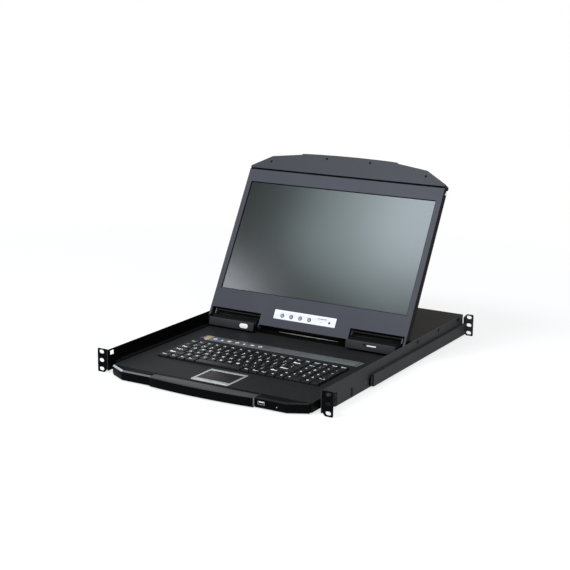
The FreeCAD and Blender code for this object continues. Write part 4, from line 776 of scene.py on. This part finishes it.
# Painted highlight on each hinge block's top lip; painted shade stays on its barrel.
for node in ("hinge_block_left", "hinge_block_right"):
    repainted(node, [HINGE_FASCIA, HINGE_LIP_HIGHLIGHT], block_tone(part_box(node)[0].y))
# Painted shade on the LCD's sides, openings and handle ends; a painted highlight on the bezel's left leg.
repainted("lcd_bezel", [LCD_SIDE_SHADE, ZINC_ARM_AND_LEG_HIGHLIGHT], bezel_tone)
repainted("lcd_handle", [LCD_SIDE_SHADE, BLACK_PRINT_AND_SHADE], grip_tone)
# Painted shade on the back cover's sides.
repainted("lcd_back_cover", [LCD_SIDE_SHADE], lambda polygon: abs(polygon.normal.x) > 0.6)


# ---- round buttons and prints on the control plate
FOOT_RIM = 1.2 * MM
FACE_SHARE = 0.62


def round_button(node, tones):
    """A turned button with a dished face; returns the middle of its front in LCD coordinates."""
    low, high = lcd_box(node)
    foot_radius = (high.x - low.x) / 2
    radius = foot_radius - FOOT_RIM
    levels = sorted({round(in_lcd(vertex.co)[2], 5) for vertex in frame["nodes"][node].data.vertices})
    foot_top = levels[1]
    profile = [(foot_radius, low.z), (foot_radius, foot_top), (radius, foot_top)]
    for share, drop_mm in ((1.0, 0.55), (0.96, 0.2), (0.88, 0.0), (0.74, 0.05), (0.66, 0.22), (0.4, 0.3),
                           (0.12, 0.32)):
        profile.append((share * radius, high.z - drop_mm * MM))
    middle = (low + high) / 2
    button = turned(lathe(profile), OUTWARD, on_screen(middle.x, middle.y, 0.0))
    piece = add_joined(node + "_turned", [(button, 0)], node, tones, BUTTON_ANGLE, True)
    front = on_screen(middle.x, middle.y, high.z)
    if len(tones) > 1:
        for polygon in piece.data.polygons:
            polygon.material_index = int((polygon.center - front).length < FACE_SHARE * radius)
    return Vector((middle.x, middle.y, high.z))


button_spots = [round_button("osd_button_%d" % number, [BUTTON, BUTTON_FACE]) for number in range(1, 5)]
power_spot = round_button("lcd_power_button", [DARK_BUTTON])
plate_high = lcd_box("control_plate")[1]


def on_plate(x, up):
    return on_screen(x, up, plate_high.z + PRINT_LIFT)


def plate_prints():
    """Signs over the menu buttons, and a line of print too small to read beside the power button."""
    signs = [glyph("=", 3.4), arrow("left", 1.7), arrow("right", 1.7), glyph("+", 3.6)]
    sign_y = plate_high.y - 4.2 * MM
    flat_marks("control_plate_signs",
               [moved(sign, spot.x - 0.9 * MM, sign_y) for sign, spot in zip(signs, button_spots)],
               "control_plate", FAINT_PRINT, on_plate)
    left = (button_spots[3].x + power_spot.x) / 2 - 3.6 * MM
    dashes = [bar(left + start_mm * MM, plate_high.y - 6.2 * MM, length_mm * MM, 1.7 * MM)
              for start_mm, length_mm in ((0.0, 2.6), (3.6, 1.6), (6.2, 3.2), (10.4, 2.4), (13.8, 1.6),
                                          (16.2, 2.2))]
    flat_marks("control_plate_dashes", dashes, "control_plate", PRINT, on_plate)


def button_signs():
    """A minus on every other menu button, a plus on the rest."""
    long, thin, lift = 3.0 * MM, 0.7 * MM, 0.03 * MM
    strokes = [bar(-long / 2, -thin / 2, long, thin), bar(-thin / 2, -long / 2, thin, long)]
    for index, spot in enumerate(button_spots):
        flat_marks("osd_button_sign_%d" % (index + 1), strokes[:1 + index % 2],
                   "osd_button_%d" % (index + 1), PRINT,
                   lambda x, y: on_screen(spot.x + x, spot.y + y, spot.z + lift))


def lcd_lamp():
    """Pale lamp to the left of the power button."""
    left, down = 17.6 * MM, 1.0 * MM
    profile = [(1.4 * MM, -0.4 * MM), (1.4 * MM, 0.15 * MM), (1.1 * MM, 0.35 * MM), (0.4 * MM, 0.45 * MM)]
    spot = on_screen(power_spot.x - left, power_spot.y - down, plate_high.z)
    add_joined("lcd_lamp", [(turned(lathe(profile, 16), OUTWARD, spot), 0)], "control_plate",
               [lens_material("lamp_pale_green", srgb(206, 210, 208))])


def handle_buffers():
    """Rubber buffers with domed tops on the LCD's handle."""
    parts = []
    for group in islands("handle_bumpers"):
        low, high = corners([in_lcd(point) for point in group])
        middle = (low + high) / 2
        radius = (high.x - low.x) / 2
        profile = [(radius, 0.0), (radius, 0.35 * MM), (0.86 * radius, 0.62 * MM), (0.5 * radius, 0.78 * MM),
                   (0.15 * radius, high.z - low.z)]
        parts.append((turned(lathe(profile, 20), OUTWARD, on_screen(middle.x, middle.y, low.z)), 0))
    add_joined("handle_buffers", parts, "handle_bumpers", [RUBBER], ROUND_ANGLE, True)


plate_prints()
button_signs()
lcd_lamp()
handle_buffers()


# ---- screws and rivets
RIVET_ZONE = (150 * MM, 170 * MM)
WASHER_SHARE = 2.3


def screw_head(radius, thickness, recess):
    """Domed head with a cross recess, or a plain rivet dome, its seat at zero."""
    dome = ((1.0, 0.0), (1.0, 0.35), (0.94, 0.72), (0.78, 0.93), (0.5, 1.0))
    steps = 24
    loops = [circle(share * radius, rise * thickness, steps) for share, rise in dome]
    for depth in (1.0, 0.25) if recess else ():
        loop = []
        for point in circle(radius, 0.0, steps):
            arm = abs(point.x ** 2 - point.y ** 2) / radius ** 2
            share = 0.13 + 0.33 * arm ** 6
            loop.append(Vector((share * point.x, share * point.y, depth * thickness)))
        loops.append(loop)
    return skinned(loops)


def wall_fasteners():
    """Black screws on washers along the chassis walls, and painted rivets in one zone of them."""
    parts = []
    for group in islands("chassis_screws"):
        low, high = corners(group)
        middle = (low + high) / 2
        side = 1 if middle.x > 0 else -1
        radius = (high.y - low.y) / 2
        inner, outer = sorted((abs(low.x), abs(high.x)))
        seat = min(abs(point.x) for point in group
                   if math.hypot(point.y - middle.y, point.z - middle.z) > 0.9 * radius)
        rivet = RIVET_ZONE[0] < middle.y < RIVET_ZONE[1]
        shank = lathe([(0.6 * radius, 0.0), (0.6 * radius, seat - inner)], 16)
        solids = [(screw_head(radius, outer - seat, not rivet), seat, int(rivet)), (shank, inner, 0)]
        if not rivet:
            washer = [(0.95, 0.0), (WASHER_SHARE, 0.0), (WASHER_SHARE, 0.12 * MM), (0.95, 0.12 * MM)]
            solids.append((lathe([(share * radius, z) for share, z in washer]), seat, 0))
        for work, foot, number in solids:
            spot = Vector((side * foot, middle.y, middle.z))
            parts.append((turned(work, (side, 0, 0), spot), number))
    add_joined("wall_fasteners", parts, "chassis_screws", [BLACK_SCREW, RIVET], ROUND_ANGLE, True)


wall_fasteners()


# ---- USB socket and lamp on the front bar
def usb_socket():
    """Shell with a rounded mouth, the tongue in it and four contacts."""
    low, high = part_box("usb_port")
    wall = 0.45 * MM
    roof = high.z - wall
    outer, inner = [rounded_loop((low.x, low.z), (high.x, high.z), inset, radius)
                    for inset, radius in ((0.0, 0.8 * MM), (wall, 0.5 * MM))]
    stack = ((inner, high.y - wall), (inner, low.y), (outer, low.y), (outer, high.y))
    shell = skinned([[(point.x, y, point.y) for point in loop] for loop, y in stack])
    bmesh.ops.recalc_face_normals(shell, faces=shell.faces)
    tongue = box_piece((low.x + 1.3 * MM, low.y + 1.0 * MM, roof - 2.0 * MM),
                       (high.x - 1.3 * MM, high.y - wall, roof - 0.35 * MM))
    parts = [(shell, 0), (tongue, 1)]
    for number in range(4):
        x = low.x + (high.x - low.x) * (0.24 + 0.173 * number)
        contact = box_piece((x - 0.5 * MM, low.y + 1.6 * MM, roof - 2.1 * MM),
                            (x + 0.5 * MM, low.y + 0.7 * (high.y - low.y), roof - 1.9 * MM))
        parts.append((contact, 2))
    add_joined("usb_socket", parts, "usb_port", [TIN, LEGEND, BRASS], ROUND_ANGLE, True)


def front_lamp():
    """Small round lens to the right of the USB socket and a little lower."""
    right, down = 29.7 * MM, 2.4 * MM
    low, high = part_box("usb_port")
    spot = Vector(((low.x + high.x) / 2 + right, low.y, (low.z + high.z) / 2 - down))
    profile = [(1.3 * MM, -3.0 * MM), (1.3 * MM, -0.6 * MM), (1.05 * MM, -0.2 * MM), (0.5 * MM, 0.0)]
    add_joined("front_lamp", [(turned(lathe(profile, 20), (0, -1, 0), spot), 0)], "front_bar_right",
               [lens_material("lamp_pale", srgb(150, 154, 150))])


usb_socket()
front_lamp()


# ---- pads and marks on the hinge blocks
def fascia_plane(node):
    """Middle, up direction and outward direction of a hinge block's leaning front."""
    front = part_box(node)[0].y + 4 * MM
    faces = [p for p in frame["nodes"][node].data.polygons if p.normal.y < -0.8 and p.center.y < front]
    face = max(faces, key=lambda p: p.area)
    outward = face.normal.normalized()
    return face.center.copy(), Vector((0.0, outward.z, -outward.y)), outward


def on_fascia(node, x, rise, lift):
    """Point of the fascia at X, a rise over its middle and a lift in front of it."""
    middle, upward, outward = fascia_plane(node)
    return Vector((x, middle.y, middle.z)) + upward * (rise / upward.z) + outward * lift


def block_marks():
    """White pad on the left block; a white bar and a dark dot on the right one."""
    pad_x, pad_rise = -123.0 * MM, -2.6 * MM
    pad = turned(pill(19.0 * MM, 9.0 * MM, 0.8 * MM), fascia_plane("hinge_block_left")[2],
                 on_fascia("hinge_block_left", pad_x, pad_rise, 0.0))
    add_joined("hinge_pad_left", [(pad, 0)], "hinge_block_left", [PALE_MARK_AND_HIGHLIGHT])
    right = "hinge_block_right"
    bar_x, bar_rise = 146.0 * MM, 3.2 * MM
    dot_x, dot_rise = 140.0 * MM, 5.4 * MM
    dot = (round_outline(2.0 * MM), [tuple(range(ROUND_STEPS))])
    for name, shape, material, slot in (
            ("hinge_bar_right", bar(bar_x, bar_rise, 19.0 * MM, 2.2 * MM), PALE_MARK_AND_HIGHLIGHT, "white_plate"),
            ("hinge_dot_right", moved(dot, dot_x, dot_rise), BLACK_PRINT_AND_SHADE, PLASTIC)):
        flat_marks(name, [shape], right, material, lambda x, rise: on_fascia(right, x, rise, LINE_LIFT))


block_marks()


# ---- small marks of the status strip, and a painted highlight on the crossbar
STRIP_SHARES = (0.085, 0.132, 0.18, 0.232, 0.28, 0.332, 0.385)


def strip_marks():
    """Seven white signs along the strip: rings, arrow heads and double bars in turn."""
    middle_y = (strip_low.y + strip_high.y) / 2
    shapes = []
    for index, share in enumerate(STRIP_SHARES):
        x = strip_low.x + share * (strip_high.x - strip_low.x)
        signs = ([flat_ring(round_outline(3.75 * MM), round_outline(2.25 * MM))],
                 [moved(arrow("up", 6.4), -3.0 * MM, -3.0 * MM)],
                 [bar(-3.6 * MM, y_mm * MM, 7.2 * MM, 2.0 * MM) for y_mm in (-3.0, 0.8)])
        shapes += [moved(shape, x, middle_y) for shape in signs[index % 3]]
    flat_marks("strip_marks", shapes, "status_strip", LEGEND,
               lambda x, y: (x, y, strip_high.z + PRINT_LIFT))


def strip_ends():
    """Print carried past the strip on the deck: a point on the left, a slanted end on the right."""
    low, high = strip_low, strip_high
    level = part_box("keyboard_deck")[1].z + 0.08 * MM
    left = [(low.x, low.y + MM), (low.x, high.y - MM), (low.x - 4 * MM, (low.y + high.y) / 2)]
    right = [(high.x, low.y), (high.x + 4 * MM, low.y), (high.x + 7.5 * MM, high.y), (high.x, high.y)]
    flat_marks("strip_ends", [(left, [(0, 2, 1)]), (right, [(0, 1, 2, 3)])], "status_strip", STRIP,
               lambda x, y: (x, y, level))


def painted_edge_highlight():
    """Painted highlight along the crossbar's lower edge, widest over its middle and thinner towards its ends."""
    left, right = -61 * MM, 70 * MM
    front = HINGE.y + 11.95 * MM
    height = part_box("keyboard_deck")[1].z + 1.9 * MM
    steps = 16
    lower, upper = [], []
    for step in range(steps + 1):
        x = left + (right - left) * step / steps
        half = (0.3 + 0.6 * math.sin(math.pi * step / steps)) * MM
        lower.append((x, -half))
        upper.insert(0, (x, half))
    flat_marks("crossbar_bare_edge", [(lower + upper, [tuple(range(2 * steps + 2))])], "hinge_crossbar",
               PALE_MARK_AND_HIGHLIGHT, lambda x, rise: (x, front, height + rise))


strip_marks()
strip_ends()
painted_edge_highlight()


# ---- dark lines of the LCD's front: a black border and painted shade
BORDER = 1.4 * MM


def bezel_opening():
    """Half width, lower and upper edge of the bezel's opening, in LCD coordinates."""
    sides, lows, highs = [], [], []
    for polygon in frame["nodes"]["lcd_bezel"].data.polygons:
        share = in_lcd(polygon.center)[1] / LCD_TOP
        facing = polygon.normal.dot(UPWARD)
        if polygon.area < 100 * MM * MM:
            continue
        if abs(polygon.normal.x) > 0.9 and share > 0.3:
            sides.append(abs(polygon.center.x))
        elif facing < -0.9 and 0.6 < share < 0.99:
            highs.append(share * LCD_TOP)
        elif facing > 0.9 and 0.1 < share < 0.5:
            lows.append(share * LCD_TOP)
    return min(sides), max(lows), min(highs)


def dark_lines():
    """Black border of the panel inside the opening, and a strip of painted shade for the groove between bezel and
    handle.
    """
    half, low, high = bezel_opening()
    level = lcd_box("lcd_panel")[1].z + LINE_LIFT
    outer, inner = [[(inset - half, low + inset), (half - inset, low + inset), (half - inset, high - inset),
                     (inset - half, high - inset)] for inset in (0.0, BORDER)]
    flat_marks("screen_border", [flat_ring(outer, inner)], "lcd_panel", BLACK_PRINT_AND_SHADE,
               lambda x, up: on_screen(x, up, level))
    low, high = lcd_box("lcd_bezel")
    # A flat strip of painted shade stands for the groove between bezel and handle.
    groove_shade = bar(low.x + MM, LCD_TOP - 1.5 * MM, high.x - low.x - 2 * MM, 1.4 * MM)
    flat_marks("handle_groove_painted_shade", [groove_shade], "lcd_bezel", BLACK_PRINT_AND_SHADE,
               lambda x, up: on_screen(x, up, high.z + LINE_LIFT))


dark_lines()


# ---- backdrop, light and camera
def background_rays(tree):
    """1 for the rays that see the background: from the camera, off gloss and through glass."""
    path = new_node(tree, "LightPath")
    bent = new_node(tree, "Math", operation="MAXIMUM")
    seen = new_node(tree, "Math", operation="MAXIMUM")
    tree.links.new(path.outputs["Is Transmission Ray"], bent.inputs[0])
    tree.links.new(path.outputs["Is Glossy Ray"], bent.inputs[1])
    tree.links.new(path.outputs["Is Camera Ray"], seen.inputs[0])
    tree.links.new(bent.outputs[0], seen.inputs[1])
    return seen.outputs[0]


def end_with_mix(tree, kind, share, first, second):
    """Ends a node tree with a mix of two shaders."""
    blend = new_node(tree, "MixShader")
    for number, source in enumerate((share, first.outputs[0], second.outputs[0])):
        tree.links.new(source, blend.inputs[number])
    tree.links.new(blend.outputs[0], new_node(tree, kind).inputs["Surface"])


def floor_material():
    """White floor, a share of it self-lit for the eye, so that only a faint shadow stays."""
    material = bpy.data.materials.new("floor_white")
    material.use_nodes = True
    tree = material.node_tree
    tree.nodes.clear()
    link = tree.links.new
    cloud = new_node(tree, "TexNoise", {"Scale": 0.8})
    tint = new_node(tree, "Mix", {6: (0.86, 0.86, 0.86, 1), 7: (0.88, 0.88, 0.88, 1)}, data_type="RGBA")
    link(cloud.outputs["Fac"], tint.inputs[0])
    paint = new_node(tree, "BsdfDiffuse")
    link(tint.outputs[2], paint.inputs["Color"])
    glow = new_node(tree, "Emission", {"Strength": 1.0})
    distance = new_node(tree, "VectorMath", operation="LENGTH")
    link(new_node(tree, "TexCoord").outputs["Object"], distance.inputs[0])
    far = new_node(tree, "MapRange", {"From Min": 0.75, "From Max": 1.6, "To Min": 0.7, "To Max": 1.0})
    link(distance.outputs["Value"], far.inputs["Value"])
    share = new_node(tree, "Math", operation="MULTIPLY")
    link(background_rays(tree), share.inputs[0])
    link(far.outputs["Result"], share.inputs[1])
    end_with_mix(tree, "OutputMaterial", share.outputs[0], paint, glow)
    return material


def build_floor():
    level = cad_low.z - 0.2 * MM
    reach = 30.0
    mesh = bpy.data.meshes.new("studio_floor")
    mesh.from_pydata([(-reach, -reach, level), (reach, -reach, level), (reach, reach, level),
                      (-reach, reach, level)], [], [(0, 1, 2, 3)])
    mesh.materials.append(floor_material())
    floor = bpy.data.objects.new("studio_floor", mesh)
    bpy.context.scene.collection.objects.link(floor)


def build_world():
    """White for the rays that see the background, and a dimmer, slightly blue light on the object."""
    world = bpy.data.worlds.new("studio_world")
    bpy.context.scene.world = world
    world.use_nodes = True
    tree = world.node_tree
    tree.nodes.clear()
    lighting = new_node(tree, "Background", {"Color": (0.95, 0.97, 1.0, 1), "Strength": 0.45})
    seen = new_node(tree, "Background", {"Color": (1, 1, 1, 1), "Strength": 1.0})
    end_with_mix(tree, "OutputWorld", background_rays(tree), lighting, seen)


def softbox(name, place, target, width, height, power, colour=(1.0, 1.0, 1.0)):
    light = bpy.data.lights.new(name, "AREA")
    light.shape = "RECTANGLE"
    light.size = width
    light.size_y = height
    light.energy = power
    light.color = colour
    holder = bpy.data.objects.new(name, light)
    bpy.context.scene.collection.objects.link(holder)
    holder.location = place
    holder.rotation_euler = (Vector(target) - Vector(place)).to_track_quat("-Z", "Y").to_euler()


def build_lights():
    """Three lamps that the screen mirrors as one soft glow, one from the right and one from above."""
    screen_low, screen_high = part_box("lcd_panel")
    screen = (screen_low + screen_high) / 2
    softbox("softbox_screen_right", (-0.653, -1.265, 2.16), screen, 0.865, 0.665, 38.5, (0.79, 0.87, 0.99))
    softbox("softbox_screen_middle", (-1.041, -1.177, 1.959), screen, 0.546, 0.578, 16.0, (0.76, 0.93, 0.95))
    softbox("softbox_screen_low", (-1.546, -1.234, 1.532), screen, 0.25, 0.15, 5.6, (0.9, 0.93, 1.0))
    softbox("softbox_right", (1.8, -1.0, 0.95), (0.2, 0.1, 0.0), 1.1, 0.9, 19)
    softbox("softbox_top", (0.4, 0.3, 2.8), (0.0, 0.2, 0.0), 1.6, 1.6, 26)


def build_camera():
    """The photograph's camera: its place, its turn about Z, its look down and its roll."""
    place = (1.2315, -1.8562, 0.7070)
    azimuth, elevation, roll = [math.radians(degrees) for degrees in (30.27, 13.54, 0.68)]
    right = Vector((math.cos(azimuth), math.sin(azimuth), 0))
    forward = Vector((-math.sin(azimuth) * math.cos(elevation), math.cos(azimuth) * math.cos(elevation),
                      -math.sin(elevation)))
    up = right.cross(forward)
    across = right * math.cos(roll) + up * math.sin(roll)
    upright = up * math.cos(roll) - right * math.sin(roll)
    data = bpy.data.cameras.new("studio_camera")
    data.lens = 85.58
    data.sensor_width = 36.0
    data.clip_end = 100.0
    camera = bpy.data.objects.new("studio_camera", data)
    bpy.context.scene.collection.objects.link(camera)
    turn = Matrix((across, upright, -forward)).transposed()
    camera.matrix_world = Matrix.Translation(place) @ turn.to_4x4()
    bpy.context.scene.camera = camera


build_floor()
build_world()
build_lights()
build_camera()
bpy.context.scene.view_settings.view_transform = "Standard"
